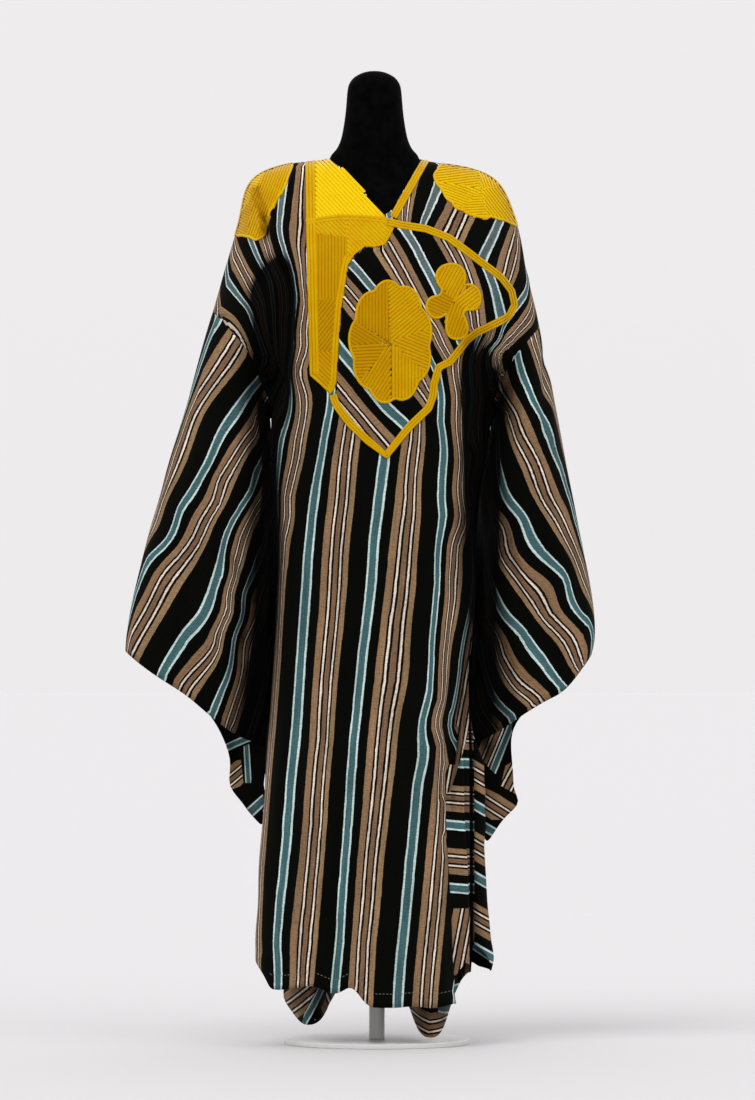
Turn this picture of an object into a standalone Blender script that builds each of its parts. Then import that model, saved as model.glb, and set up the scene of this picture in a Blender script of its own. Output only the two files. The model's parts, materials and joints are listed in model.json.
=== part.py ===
# Kaftan of striped strip-woven cotton with gold embroidery, on a limbless dress form with a pole stand.
# Metres, +Z up, front towards -Y. The origin is the centre of the base plate's underside.

import bpy
import bmesh
from collections import namedtuple
from math import cos, exp, hypot, pi, sin
from mathutils import Vector

# Thickness of the cloth, the gap between sewn pieces, and the couched embroidery that lies on the cloth.
CLOTH = 0.002
SEAM_GAP = 0.0003
EMBROIDERY_LOW = 0.0003
EMBROIDERY_HIGH = 0.0018
# The pocket is a thinner cloth on the front, and its own embroidery lies on it.
POCKET_HIGH = 0.0013
ON_POCKET_LOW = 0.0016
ON_POCKET_HIGH = 0.0030

# Heights where the outline changes: the armholes' outer ends, the armpits and the tops of the gores.
ARMHOLE_LEFT = 1.180
ARMHOLE_RIGHT = 1.154
ARMPIT = 1.042
GORE_TOP = 0.69
LAST_LEVEL_ROW = 0.21

# Corner where the neck meets the shoulder, and half of the slit left between front and back at an armpit.
NECK_TOP = 1.425
ARMPIT_SLIT = 0.005
GORE_SLIT = 0.004

# Cells across each part of the front and back, and down from the shoulder to the armpit.
SHOULDER_CELLS = 9
NECK_CELLS = 12
BACK_NECK_CELLS = 8
YOKE_ROWS = 11
SLEEVE_ROWS = 11
GORE_CELLS = 10
GUSSET_ROWS = 4
# Lowest row of the front that carries embroidery, and the height where the godets start.
LOWEST_GOLD_ROW = YOKE_ROWS + 3
GODET_TOP = 0.51

# Rows lie closer together at the shoulder than at the armpit, by this power of their number.
ROW_SPREAD = 1.7

# Fullness of the garment seen from above: high powers give a boxier body, low roots a flatter front.
YOKE_BOXINESS = 2.4
YOKE_ROOT = 0.5
BODY_BOXINESS = 2.6
BODY_ROOT = 0.45
# Folds die away towards a panel's side edges, the faster the higher this is.
EDGE_STEEPNESS = 8.0

# Where the neck's two corners lie across the width of the chest, as a share of it.
NECK_FROM = 0.25
NECK_TO = 0.686

# Outline and depth of the garment above the armpits, sleeves included.
Section = namedtuple("Section", "height left right front back")
YOKE = (
    Section(1.430, -0.078, 0.070, 0.052, 0.054),
    Section(1.425, -0.082, 0.074, 0.053, 0.055),
    Section(1.417, -0.128, 0.098, 0.056, 0.058),
    Section(1.407, -0.155, 0.141, 0.060, 0.062),
    Section(1.394, -0.189, 0.179, 0.067, 0.069),
    Section(1.372, -0.205, 0.201, 0.078, 0.079),
    Section(1.348, -0.214, 0.216, 0.089, 0.089),
    Section(1.319, -0.224, 0.228, 0.101, 0.099),
    Section(1.282, -0.235, 0.235, 0.114, 0.108),
    Section(1.231, -0.250, 0.243, 0.126, 0.115),
    Section(1.180, -0.264, 0.258, 0.132, 0.119),
    Section(1.129, -0.279, 0.266, 0.134, 0.120),
    Section(1.042, -0.301, 0.284, 0.132, 0.118),
)

# Edges and depth of the body below the armpits.
BODY = (
    Section(1.042, -0.171, 0.186, 0.132, 0.118),
    Section(0.985, -0.168, 0.182, 0.131, 0.117),
    Section(0.930, -0.1655, 0.172, 0.129, 0.116),
    Section(0.874, -0.161, 0.164, 0.128, 0.116),
    Section(0.714, -0.159, 0.157, 0.128, 0.120),
    Section(0.586, -0.168, 0.139, 0.132, 0.126),
    Section(0.426, -0.180, 0.110, 0.138, 0.132),
    Section(0.346, -0.187, 0.110, 0.141, 0.135),
    Section(0.234, -0.191, 0.117, 0.145, 0.139),
    Section(0.127, -0.194, 0.123, 0.148, 0.142),
    Section(0.060, -0.194, 0.123, 0.150, 0.143),
)
LEVEL_ROWS = (1.042, 0.985, 0.925, 0.865, 0.80, 0.74, 0.69, 0.63, 0.57, 0.51, 0.45, 0.39, 0.33, 0.27, 0.21)
HEM_ROWS = (0.35, 0.7, 1.0)

# The V neck, from the left corner down and up to the right corner.
Place = namedtuple("Place", "across height")
NECK_V = (
    Place(-0.082, 1.425), Place(-0.050, 1.401), Place(-0.019, 1.367), Place(-0.006, 1.345),
    Place(0.001, 1.328), Place(0.012, 1.323), Place(0.020, 1.331), Place(0.048, 1.379), Place(0.074, 1.425),
)
BACK_NECK_DROP = 0.010
# Height at which the panels' side edges set how far the hem is spread.
HEM_LEVEL = 0.09

# The front hem as the photo shows it, from left to right, and the back hem with its two low corners.
FRONT_HEM = (
    Place(-0.194, 0.141), Place(-0.168, 0.101), Place(-0.150, 0.091), Place(-0.099, 0.098),
    Place(-0.062, 0.083), Place(-0.040, 0.094), Place(-0.016, 0.067), Place(0.011, 0.061),
    Place(0.050, 0.061), Place(0.099, 0.060), Place(0.123, 0.068),
)
BACK_HEM = (
    Place(-0.170, 0.120), Place(-0.150, 0.092), Place(-0.130, 0.046), Place(-0.109, 0.034),
    Place(-0.086, 0.046), Place(-0.062, 0.088), Place(0.000, 0.098), Place(0.046, 0.075),
    Place(0.064, 0.026), Place(0.088, 0.013), Place(0.106, 0.026), Place(0.124, 0.075), Place(0.150, 0.115),
)

# Folds of the body: where each runs, how wide it is and how far it goes in, or out where negative.
Fold = namedtuple("Fold", "top bottom across_top across_bottom width depth")
FRONT_FOLDS = (
    Fold(1.22, 0.62, -0.150, -0.135, 0.016, 0.020),
    Fold(0.98, 0.00, -0.120, -0.150, 0.016, 0.012),
    Fold(0.95, 0.00, -0.032, -0.062, 0.016, 0.011),
    Fold(0.90, 0.00, -0.080, -0.105, 0.018, -0.008),
    Fold(0.95, 0.00, 0.040, 0.020, 0.018, -0.009),
    Fold(0.80, 0.00, 0.095, 0.066, 0.016, 0.010),
    Fold(1.14, 0.72, 0.158, 0.138, 0.014, 0.026),
    Fold(0.92, 0.40, 0.125, 0.092, 0.013, -0.009),
)
BACK_FOLDS = (
    Fold(1.20, 0.20, -0.130, -0.140, 0.018, 0.016),
    Fold(1.05, 0.20, -0.060, -0.050, 0.018, -0.012),
    Fold(1.00, 0.00, 0.000, 0.005, 0.020, 0.014),
    Fold(1.10, 0.20, 0.065, 0.055, 0.018, -0.011),
    Fold(1.20, 0.30, 0.135, 0.130, 0.018, 0.018),
)

# Deep flutes of the back hem, which the godets make: each swings forward under the hem.
Flute = namedtuple("Flute", "side across half_width depth first last")
FLUTES = (
    Flute("left", -0.109, 0.046, 0.205, 1, 11),
    Flute("right", 0.088, 0.040, 0.205, 16, 25),
)
FLUTE_TOP = 0.57
FLUTE_FULL = 0.10
# Share of its half width at which a flute's sides start.
FLUTE_REACH = 1.25

# Sleeves: outer edge from the armhole down to the corner of the cuff, inner crease, and sag of the cuff.
SLEEVE_OUTER_LEFT = (
    Place(-0.264, 1.180), Place(-0.279, 1.129), Place(-0.298, 1.059), Place(-0.313, 1.001),
    Place(-0.332, 0.952), Place(-0.347, 0.882), Place(-0.365, 0.814), Place(-0.385, 0.749),
    Place(-0.395, 0.710), Place(-0.403, 0.664), Place(-0.401, 0.635),
)
SLEEVE_OUTER_RIGHT = (
    Place(0.262, 1.154), Place(0.272, 1.093), Place(0.287, 1.031), Place(0.304, 0.936),
    Place(0.312, 0.896), Place(0.324, 0.839), Place(0.332, 0.796), Place(0.341, 0.752),
    Place(0.350, 0.700), Place(0.351, 0.650), Place(0.340, 0.629),
)
SLEEVE_INNER_LEFT = (
    Place(-0.171, 1.042), Place(-0.176, 0.985), Place(-0.168, 0.930), Place(-0.160, 0.874),
    Place(-0.156, 0.714), Place(-0.165, 0.586), Place(-0.174, 0.482),
)
SLEEVE_INNER_RIGHT = (
    Place(0.186, 1.042), Place(0.1875, 0.985), Place(0.174, 0.930), Place(0.163, 0.874),
    Place(0.155, 0.740), Place(0.157, 0.600), Place(0.162, 0.472),
)
SLEEVE_CREASE_BACK = 0.045
Sag = namedtuple("Sag", "share drop")
CUFF_SAG_LEFT = (
    Sag(0.0, 0.0), Sag(0.25, 0.004), Sag(0.5, 0.004), Sag(0.66, 0.014), Sag(0.78, 0.026), Sag(1.0, 0.0),
)
CUFF_SAG_RIGHT = (
    Sag(0.0, 0.0), Sag(0.14, 0.015), Sag(0.25, 0.020), Sag(0.45, 0.009), Sag(0.7, 0.002), Sag(1.0, 0.0),
)
ARMHOLE_BOW_LEFT = 0.016
ARMHOLE_BOW_RIGHT = -0.009

# Depth of a sleeve at its front and back, from the armhole to the cuff.
Depth = namedtuple("Depth", "share front back")
SLEEVE_DEPTH = (
    Depth(0.0, 0.105, 0.095), Depth(0.3, 0.090, 0.080), Depth(0.6, 0.075, 0.068), Depth(1.0, 0.066, 0.060),
)
# The sleeve is fuller towards its outer edge, and takes up its own depth by this share of its length.
SLEEVE_FULLNESS_OUTER = 1.15
SLEEVE_FULLNESS_LOSS = 0.3
SLEEVE_TAKE_UP = 0.3
SLEEVE_FOLD_TAKE_UP = 0.3
SLEEVE_CREASE_START = 0.04
SLEEVE_EDGE_STEEPNESS = 10.0

# Folds of a sleeve: place across from the outer edge, at the armhole's end and the cuff's.
SleeveFold = namedtuple("SleeveFold", "start end across_start across_end width depth")
SLEEVE_FOLDS = (
    SleeveFold(0.15, 1.10, 0.78, 0.84, 0.050, 0.024),
    SleeveFold(0.25, 1.10, 0.62, 0.66, 0.050, -0.010),
    SleeveFold(0.35, 1.10, 0.42, 0.36, 0.070, 0.010),
)

# Gusset under the inner end of each cuff: its outer and its lower edge.
GUSSET_FROM_CELL = 8
GUSSET_OUTER_LEFT = (Place(-0.239, 0.468), Place(-0.228, 0.429), Place(-0.217, 0.394), Place(-0.209, 0.376))
GUSSET_LOWER_LEFT = (Place(-0.209, 0.376), Place(-0.188, 0.351))
GUSSET_OUTER_RIGHT = (Place(0.215, 0.498), Place(0.219, 0.453), Place(0.222, 0.418), Place(0.219, 0.378))
GUSSET_LOWER_RIGHT = (Place(0.219, 0.378), Place(0.188, 0.330))
GUSSET_FORWARD = 0.030
# The gusset comes less far forward at its inner edge, and is all the way forward above its tip.
GUSSET_INNER_LOSS = 0.6
GUSSET_TAKE_UP = 1.2

# Outer edge of each gore and how its one deep pleat goes in and comes out, at the hem.
Pleat = namedtuple("Pleat", "share across depth")
GORE_LEFT = (Pleat(0.30, -0.152, -0.020), Pleat(0.62, -0.182, 0.022))
GORE_RIGHT = (Pleat(0.26, 0.152, -0.078), Pleat(0.50, 0.126, -0.046), Pleat(0.74, 0.182, -0.016))
GORE_EDGE_FRONT = 0.092
GORE_EDGE_LEFT_FRONT = 0.050
GORE_EDGE_BACK = 0.062
GORE_BACK_LEFT = -0.160
GORE_BACK_RIGHT = 0.150
# How far below their tops the gores are fully open.
GORE_OPENING = 0.50

# The dress form: half width and depths at each height, and its middle across.
FormSection = namedtuple("FormSection", "height half_width front back")
FORM_MIDDLE = -0.004
FORM_SIDES = 28
FORM_ROUNDNESS = 0.83
FORM = (
    FormSection(0.800, 0.128, 0.088, 0.092),
    FormSection(0.806, 0.138, 0.098, 0.102),
    FormSection(0.880, 0.143, 0.104, 0.106),
    FormSection(0.970, 0.134, 0.098, 0.094),
    FormSection(1.060, 0.118, 0.088, 0.082),
    FormSection(1.150, 0.132, 0.100, 0.088),
    FormSection(1.220, 0.150, 0.112, 0.094),
    FormSection(1.280, 0.166, 0.104, 0.094),
    FormSection(1.330, 0.182, 0.088, 0.086),
    FormSection(1.360, 0.188, 0.072, 0.074),
    FormSection(1.376, 0.184, 0.060, 0.062),
    FormSection(1.387, 0.168, 0.052, 0.054),
    FormSection(1.398, 0.128, 0.046, 0.048),
    FormSection(1.407, 0.090, 0.043, 0.045),
    FormSection(1.420, 0.0735, 0.042, 0.044),
    FormSection(1.436, 0.066, 0.043, 0.045),
    FormSection(1.453, 0.0605, 0.044, 0.046),
    FormSection(1.493, 0.0495, 0.045, 0.046),
    FormSection(1.542, 0.043, 0.041, 0.041),
    FormSection(1.556, 0.038, 0.036, 0.036),
    FormSection(1.563, 0.024, 0.023, 0.023),
)
FORM_TOP = 1.565

# Pole and base of the stand.
POLE_RADIUS = 0.0125
BASE_RADIUS = 0.150
BASE_THICKNESS = 0.008
BASE_BEVEL = 0.0015
ROUND_SIDES = 48

# Outline of the gold panel that runs from the V's left side down beside the pocket to its lower tip.
NECK_PANEL = (
    Place(-0.115, 1.440), Place(-0.075, 1.440), Place(-0.040, 1.400), Place(-0.004, 1.362),
    Place(0.012, 1.330), Place(0.018, 1.318), Place(0.028, 1.308), Place(0.021, 1.293),
    Place(0.013, 1.280), Place(-0.002, 1.276), Place(-0.019, 1.277), Place(-0.035, 1.264),
    Place(-0.046, 1.247), Place(-0.050, 1.218), Place(-0.056, 1.181), Place(-0.060, 1.130),
    Place(-0.064, 1.061), Place(-0.072, 1.042), Place(-0.107, 1.072), Place(-0.113, 1.324),
)
BAND_WIDTH = 0.012
NECK_BAND = (Place(0.0845, 1.440), Place(0.052, 1.380), Place(0.0225, 1.327))
POCKET_BAND = (
    Place(0.038, 1.312), Place(0.078, 1.306), Place(0.114, 1.292), Place(0.141, 1.272), Place(0.170, 1.250),
    Place(0.198, 1.229), Place(0.214, 1.208), Place(0.219, 1.186), Place(0.210, 1.168), Place(0.189, 1.156),
    Place(0.158, 1.141), Place(0.142, 1.128), Place(0.128, 1.109), Place(0.116, 1.094), Place(0.098, 1.085),
    Place(0.090, 1.056), Place(0.089, 1.040), Place(0.082, 1.020), Place(0.051, 0.990), Place(0.015, 0.945),
    Place(-0.014, 0.968), Place(-0.043, 0.996), Place(-0.062, 1.022), Place(-0.066, 1.030),
)
# The pocket's free side runs along these points of the gold panel, so far to the side of them and below.
BESIDE_POCKET = slice(6, 17)
POCKET_CLEARANCE = 0.0006

# Rosettes: middle, half sizes, and lobes cut in by a share of the radius, as round as this power gives.
Rosette = namedtuple("Rosette", "across height half_width half_height lobes notch turn")
ROSETTE_LARGE = Rosette(0.022, 1.125, 0.068, 0.100, 9, 0.09, 0.3)
SHOULDER_ROSETTE_LEFT = Rosette(-0.182, 1.362, 0.055, 0.078, 8, 0.10, 0.2)
SHOULDER_ROSETTE_RIGHT = Rosette(0.160, 1.366, 0.072, 0.066, 9, 0.10, 0.5)
LOBE_ROUNDNESS = 0.8
Lobe = namedtuple("Lobe", "angle reach spread")
ROSETTE_SMALL = Place(0.123, 1.192)
ROSETTE_SMALL_CORE = 0.020
ROSETTE_SMALL_LOBES = (
    Lobe(1.57, 0.058, 0.42), Lobe(0.12, 0.043, 0.55), Lobe(3.60, 0.040, 0.52), Lobe(4.86, 0.058, 0.30),
)
LOBE_SPREAD = 1.6
LOBE_BOXINESS = 2.4
ROSETTE_POINTS = 54

# How far a cutter for an outline reaches before and behind, and how near two of its points are one.
CUTTER_REACH = 0.25
WELD = 0.00001
# At a sharp edge the mitre between two pieces is let out no further than this allows.
MITRE_LIMIT = 0.7


# Curves and tables

def between(a, b, share):
    return a + (b - a) * share


def eased(share):
    share = min(1.0, max(0.0, share))
    return share * share * (3.0 - 2.0 * share)


def spline(rows, keys, at):
    """Values at a place along a smooth curve through the rows of a table."""
    at = min(max(at, keys[0]), keys[-1])
    i = 0
    while i < len(keys) - 2 and at > keys[i + 1]:
        i += 1
    step = keys[i + 1] - keys[i]
    t = (at - keys[i]) / step
    before, after = max(i - 1, 0), min(i + 2, len(keys) - 1)
    values = []
    for p, a, b, q in zip(rows[before], rows[i], rows[i + 1], rows[after]):
        slope_a = (b - p) / (keys[i + 1] - keys[before]) * step
        slope_b = (q - a) / (keys[after] - keys[i]) * step
        values.append(
            a * (2 * t**3 - 3 * t**2 + 1) + slope_a * (t**3 - 2 * t**2 + t)
            + b * (3 * t**2 - 2 * t**3) + slope_b * (t**3 - t**2)
        )
    return values


def by_first_column(table, at):
    """The row of a table at a value of its first column."""
    rows = sorted(table)
    return type(table[0])(*spline(rows, [row[0] for row in rows], at))


def along(places, share):
    """The place at a share of the length of a smooth line through some places."""
    lengths = [0.0]
    for a, b in zip(places, places[1:]):
        lengths.append(lengths[-1] + hypot(b.across - a.across, b.height - a.height))
    return Place(*spline(places, lengths, share * lengths[-1]))


def fold_depth(folds, across, height):
    """How far all folds together push the cloth in at one place."""
    total = 0.0
    for fold in folds:
        run = (fold.top - height) / (fold.top - fold.bottom)
        if 0.0 < run < 1.0:
            middle = between(fold.across_top, fold.across_bottom, run)
            fade = eased(run / 0.25) * (eased((1.0 - run) / 0.2) if fold.bottom > 0.0 else 1.0)
            total += fold.depth * fade * exp(-(((across - middle) / fold.width) ** 2))
    return total


# Shape of the body

def yoke_bulge(across, height):
    """Share of the full depth that the cloth over chest and shoulders reaches at one place."""
    section = by_first_column(YOKE, height)
    middle = (section.left + section.right) / 2
    half = (section.right - section.left) / 2
    return max(0.0, 1.0 - abs((across - middle) / half) ** YOKE_BOXINESS) ** YOKE_ROOT


def body_bulge(share):
    return max(0.0, 1.0 - abs(2.0 * share - 1.0) ** BODY_BOXINESS) ** BODY_ROOT


def shoulder_line(side, share):
    """Place on the shoulder's ridge, from the armhole's outer end up to the neck."""
    low = ARMHOLE_LEFT if side == "left" else ARMHOLE_RIGHT
    heights = sorted([row.height for row in YOKE if low < row.height < NECK_TOP] + [low, NECK_TOP])
    ridge = [Place(getattr(by_first_column(YOKE, height), side), height) for height in heights]
    return along(ridge, share)


def column_shares(neck_cells):
    """Where the columns of a panel lie across the chest, as shares of its width."""
    left = [NECK_FROM * i / SHOULDER_CELLS for i in range(SHOULDER_CELLS)]
    neck = [between(NECK_FROM, NECK_TO, i / neck_cells) for i in range(neck_cells)]
    right = [between(NECK_TO, 1.0, i / SHOULDER_CELLS) for i in range(SHOULDER_CELLS + 1)]
    return left + neck + right


def top_place(column, neck_cells, front):
    """Where a column of a panel starts: on the shoulder's ridge or at the neck's edge."""
    if column <= SHOULDER_CELLS:
        return shoulder_line("left", column / SHOULDER_CELLS)
    if column >= SHOULDER_CELLS + neck_cells:
        return shoulder_line("right", 1.0 - (column - SHOULDER_CELLS - neck_cells) / SHOULDER_CELLS)
    share = (column - SHOULDER_CELLS) / neck_cells
    if front:
        return along(NECK_V, share)
    drop = BACK_NECK_DROP * sin(pi * share)
    return Place(between(NECK_V[0].across, NECK_V[-1].across, share), NECK_TOP - drop)


def yoke_share(row):
    return (row / YOKE_ROWS) ** ROW_SPREAD


def on_ridge(chest_share):
    return not NECK_FROM < chest_share < NECK_TO


def yoke_point(top, chest_share, row, front):
    """A point of the front or back between its top and the armpits."""
    share = yoke_share(row)
    chest = BODY[0]
    across = between(top.across, between(chest.left, chest.right, chest_share), share)
    bow = ARMHOLE_BOW_LEFT * (1 - chest_share) ** 3 + ARMHOLE_BOW_RIGHT * chest_share**3
    across += bow * sin(pi * share)
    height = between(top.height, ARMPIT, share)
    section = by_first_column(YOKE, height)
    bulge = between(yoke_bulge(across, height), body_bulge(chest_share), eased(share))
    inside = min(1.0, EDGE_STEEPNESS * chest_share * (1.0 - chest_share)) * eased(share * 3)
    if front:
        y = -section.front * bulge + fold_depth(FRONT_FOLDS, across, height) * inside
    else:
        y = section.back * bulge - fold_depth(BACK_FOLDS, across, height) * inside
    if row == 0 and on_ridge(chest_share):
        y = 0.0
    if row == YOKE_ROWS and chest_share in (0.0, 1.0):
        y = -ARMPIT_SLIT if front else ARMPIT_SLIT
    return Vector((across, y, height))


def hem_height(places, across):
    return by_first_column(places, across).height


def gore_growth(height):
    """How far the gores have opened at a height, from 0 at their tops."""
    return eased((GORE_TOP - height) / GORE_OPENING)


def edge_setback(side, height, front):
    """How far the side edge of the front or back stands off the side, where a gore parts them."""
    if height > GORE_TOP + 0.001:
        return 0.0
    reach = GORE_EDGE_BACK
    if front:
        reach = GORE_EDGE_FRONT if side == "right" else GORE_EDGE_LEFT_FRONT
    return between(GORE_SLIT, reach, gore_growth(height))


def body_edges(height, front):
    """Left and right edges of the front or back panel at a height."""
    section = by_first_column(BODY, height)
    if front or height > GORE_TOP + 0.001:
        return section.left, section.right
    growth = gore_growth(height)
    top = by_first_column(BODY, GORE_TOP)
    left = between(top.left, GORE_BACK_LEFT, growth)
    right = between(top.right, GORE_BACK_RIGHT, growth)
    return left, right


def flute_depth(across, height):
    depth = 0.0
    growth = eased((FLUTE_TOP - height) / (FLUTE_TOP - FLUTE_FULL))
    for flute in FLUTES:
        off = abs(across - flute.across) / flute.half_width
        depth += flute.depth * growth * eased(FLUTE_REACH - off)
    return depth


def body_point(share, level, drop, front):
    """A point below the armpits. Drop is 0 on a level row and runs to 1 at the hem."""
    left, right = body_edges(level, front)
    across = between(left, right, share)
    height = level
    if drop > 0.0:
        low_left, low_right = body_edges(HEM_LEVEL, front)
        across = between(across, between(low_left, low_right, share), drop)
        height = between(level, hem_height(FRONT_HEM if front else BACK_HEM, across), drop)
    section = by_first_column(BODY, height)
    side_left = edge_setback("left", height, front)
    side_right = edge_setback("right", height, front)
    side = between(side_left, side_right, share)
    inside = min(1.0, EDGE_STEEPNESS * share * (1.0 - share))
    if front:
        y = -side - (section.front - side) * body_bulge(share)
        y += fold_depth(FRONT_FOLDS, across, height) * inside
    else:
        y = side + (section.back - side) * body_bulge(share)
        y -= (fold_depth(BACK_FOLDS, across, height) + flute_depth(across, height)) * inside
    return Vector((across, y, height))


def panel_grid(front):
    """Rows of points of the front or back panel, from the shoulders to the hem."""
    neck_cells = NECK_CELLS if front else BACK_NECK_CELLS
    shares = column_shares(neck_cells)
    tops = [top_place(column, neck_cells, front) for column in range(len(shares))]
    rows = []
    for row in range(YOKE_ROWS + 1):
        rows.append([yoke_point(top, share, row, front) for top, share in zip(tops, shares)])
    for level in LEVEL_ROWS[1:]:
        rows.append([body_point(share, level, 0.0, front) for share in shares])
    for drop in HEM_ROWS:
        rows.append([body_point(share, LAST_LEVEL_ROW, drop, front) for share in shares])
    return rows


# Shape of the sleeves, gussets and gores

def sleeve_grid(side, front, armhole):
    """Rows of points of half a sleeve, from the armhole to the cuff, each from the outer edge inwards."""
    outer = SLEEVE_OUTER_LEFT if side == "left" else SLEEVE_OUTER_RIGHT
    inner = SLEEVE_INNER_LEFT if side == "left" else SLEEVE_INNER_RIGHT
    sags = CUFF_SAG_LEFT if side == "left" else CUFF_SAG_RIGHT
    rows = [armhole]
    for row in range(1, SLEEVE_ROWS + 1):
        run = row / SLEEVE_ROWS
        start, end = along(outer, run), along(inner, run)
        depth = by_first_column(SLEEVE_DEPTH, run)
        points = []
        for cell in range(YOKE_ROWS + 1):
            share = yoke_share(cell)
            seam = armhole[cell]
            bow_across = seam.x - between(armhole[0].x, armhole[-1].x, share)
            bow_height = seam.z - between(armhole[0].z, armhole[-1].z, share)
            across = between(start.across, end.across, share) + bow_across * (1 - run) ** 2
            height = between(start.height, end.height, share) + bow_height * (1 - run) ** 2
            height -= by_first_column(sags, share).drop * run**3
            fullness = SLEEVE_FULLNESS_OUTER - SLEEVE_FULLNESS_LOSS * share
            arch = (4.0 * share * (1.0 - share)) ** 0.5 * fullness
            fold = 0.0
            for line in SLEEVE_FOLDS:
                if line.start < run < line.end:
                    middle = between(line.across_start, line.across_end, run)
                    fade = eased((run - line.start) / SLEEVE_FOLD_TAKE_UP)
                    fold += line.depth * fade * exp(-(((share - middle) / line.width) ** 2))
            fold *= min(1.0, SLEEVE_EDGE_STEEPNESS * share * (1.0 - share))
            crease = SLEEVE_CREASE_BACK * eased((run - SLEEVE_CREASE_START) / SLEEVE_TAKE_UP) * share**2
            if front:
                flat = crease - depth.front * arch + fold
            else:
                flat = crease + depth.back * arch - fold
            y = between(seam.y, flat, eased(run / SLEEVE_TAKE_UP)) if cell < YOKE_ROWS else crease
            points.append(Vector((across, y, height)))
        rows.append(points)
    return rows


def gusset_grid(side, cuff):
    """Rows of points of a gusset, hanging from the inner end of the back half's cuff."""
    outer = GUSSET_OUTER_LEFT if side == "left" else GUSSET_OUTER_RIGHT
    lower = GUSSET_LOWER_LEFT if side == "left" else GUSSET_LOWER_RIGHT
    top = cuff[GUSSET_FROM_CELL:]
    rows = [top]
    line = (Place(top[0].x, top[0].z),) + outer
    for row in range(1, GUSSET_ROWS + 1):
        run = row / GUSSET_ROWS
        edge = along(line, run)
        end = Place(between(top[-1].x, lower[-1].across, run), between(top[-1].z, lower[-1].height, run))
        points = []
        for cell, above in enumerate(top):
            share = cell / (len(top) - 1)
            across = between(edge.across, end.across, share)
            height = between(edge.height, end.height, share)
            forward = GUSSET_FORWARD * (1.0 - GUSSET_INNER_LOSS * share)
            y = between(above.y, forward, eased(run * GUSSET_TAKE_UP))
            points.append(Vector((across, y, height)))
        rows.append(points)
    return rows


def gore_grid(side, front_edge, back_edge):
    """Rows of points of a gore, each from the front's edge round its pleat to the back's edge."""
    pleats = GORE_LEFT if side == "left" else GORE_RIGHT
    rows = []
    for start, end in zip(front_edge, back_edge):
        growth = gore_growth(start.z)
        keys = [0.0] + [pleat.share for pleat in pleats] + [1.0]
        places = [(start.x, start.y)]
        for pleat in pleats:
            flat_x = between(start.x, end.x, pleat.share)
            flat_y = between(start.y, end.y, pleat.share)
            places.append((between(flat_x, pleat.across, growth), between(flat_y, pleat.depth, growth)))
        places.append((end.x, end.y))
        points = []
        for cell in range(GORE_CELLS + 1):
            share = cell / GORE_CELLS
            x, y = spline(places, keys, share)
            points.append(Vector((x, y, between(start.z, end.z, share))))
        rows.append(points)
    return rows


# Solids from grids

def cell_triangles(rows, flip):
    """Index triangles of each cell of a grid, always cut along the same diagonal."""
    triangles = []
    for i in range(len(rows) - 1):
        for j in range(len(rows[0]) - 1):
            a, b, c, d = (i, j), (i + 1, j), (i + 1, j + 1), (i, j + 1)
            pair = [(a, b, c), (a, c, d)]
            if flip:
                pair = [(p, r, q) for p, q, r in pair]
            triangles.append(((i, j), pair))
    return triangles


def spot(point):
    return tuple(round(value * 1e6) for value in point)


def shared_directions(grids):
    """Outward direction at each point of all the cloth together, so that seams are mitred."""
    faces_at = {}
    for rows, flip in grids:
        for _, pair in cell_triangles(rows, flip):
            for triangle in pair:
                corners = [rows[i][j] for i, j in triangle]
                area = (corners[1] - corners[0]).cross(corners[2] - corners[0])
                for corner in corners:
                    faces_at.setdefault(spot(corner), []).append(area)
    directions = {}
    for key, areas in faces_at.items():
        total = sum(areas, Vector())
        total.normalize()
        lean = sum(total.dot(area) for area in areas) / sum(area.length for area in areas)
        directions[key] = total / max(lean, MITRE_LIMIT)
    return directions


def pulled(rows, sides):
    """A copy of a grid with some of its sides drawn in by their share of the seam gap."""
    copy = [[point.copy() for point in row] for row in rows]

    def draw(border, inner, amount):
        for point, beside in zip(border, inner):
            point += (beside - point).normalized() * amount

    if "top" in sides:
        draw(copy[0], rows[1], sides["top"])
    if "bottom" in sides:
        draw(copy[-1], rows[-2], sides["bottom"])
    if "left" in sides:
        draw([row[0] for row in copy], [row[1] for row in rows], sides["left"])
    if "right" in sides:
        draw([row[-1] for row in copy], [row[-2] for row in rows], sides["right"])
    return copy


def wall(name, rows, flip, directions, low, high, sides, material, left_out=()):
    """Closed solid between two distances from a grid, with its edges closed all round."""
    drawn = pulled(rows, sides)
    mesh = bmesh.new()
    outer, inner = {}, {}

    def corner(layer, key, distance):
        if key not in layer:
            i, j = key
            layer[key] = mesh.verts.new(drawn[i][j] + directions[spot(rows[i][j])] * distance)
        return layer[key]

    border = {}
    for cell, pair in cell_triangles(rows, flip):
        if cell in left_out:
            continue
        for triangle in pair:
            mesh.faces.new([corner(outer, key, high) for key in triangle])
            mesh.faces.new([corner(inner, key, low) for key in reversed(triangle)])
            for a, b in zip(triangle, triangle[1:] + triangle[:1]):
                if (b, a) in border:
                    del border[(b, a)]
                else:
                    border[(a, b)] = True
    for a, b in border:
        # Both pieces at a seam cut the closing strip along the same diagonal.
        if spot(rows[a[0]][a[1]]) < spot(rows[b[0]][b[1]]):
            mesh.faces.new((outer[b], outer[a], inner[b]))
            mesh.faces.new((outer[a], inner[a], inner[b]))
        else:
            mesh.faces.new((outer[b], outer[a], inner[a]))
            mesh.faces.new((outer[b], inner[a], inner[b]))
    return finished(name, mesh, material)


def finished(name, mesh, material):
    """Put a mesh in the collection as a named, smoothly shaded object with its material."""
    data = bpy.data.meshes.new(name)
    mesh.to_mesh(data)
    mesh.free()
    data.materials.append(material)
    data.shade_smooth()
    piece = bpy.data.objects.new(name, data)
    parts.objects.link(piece)
    return piece


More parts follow.
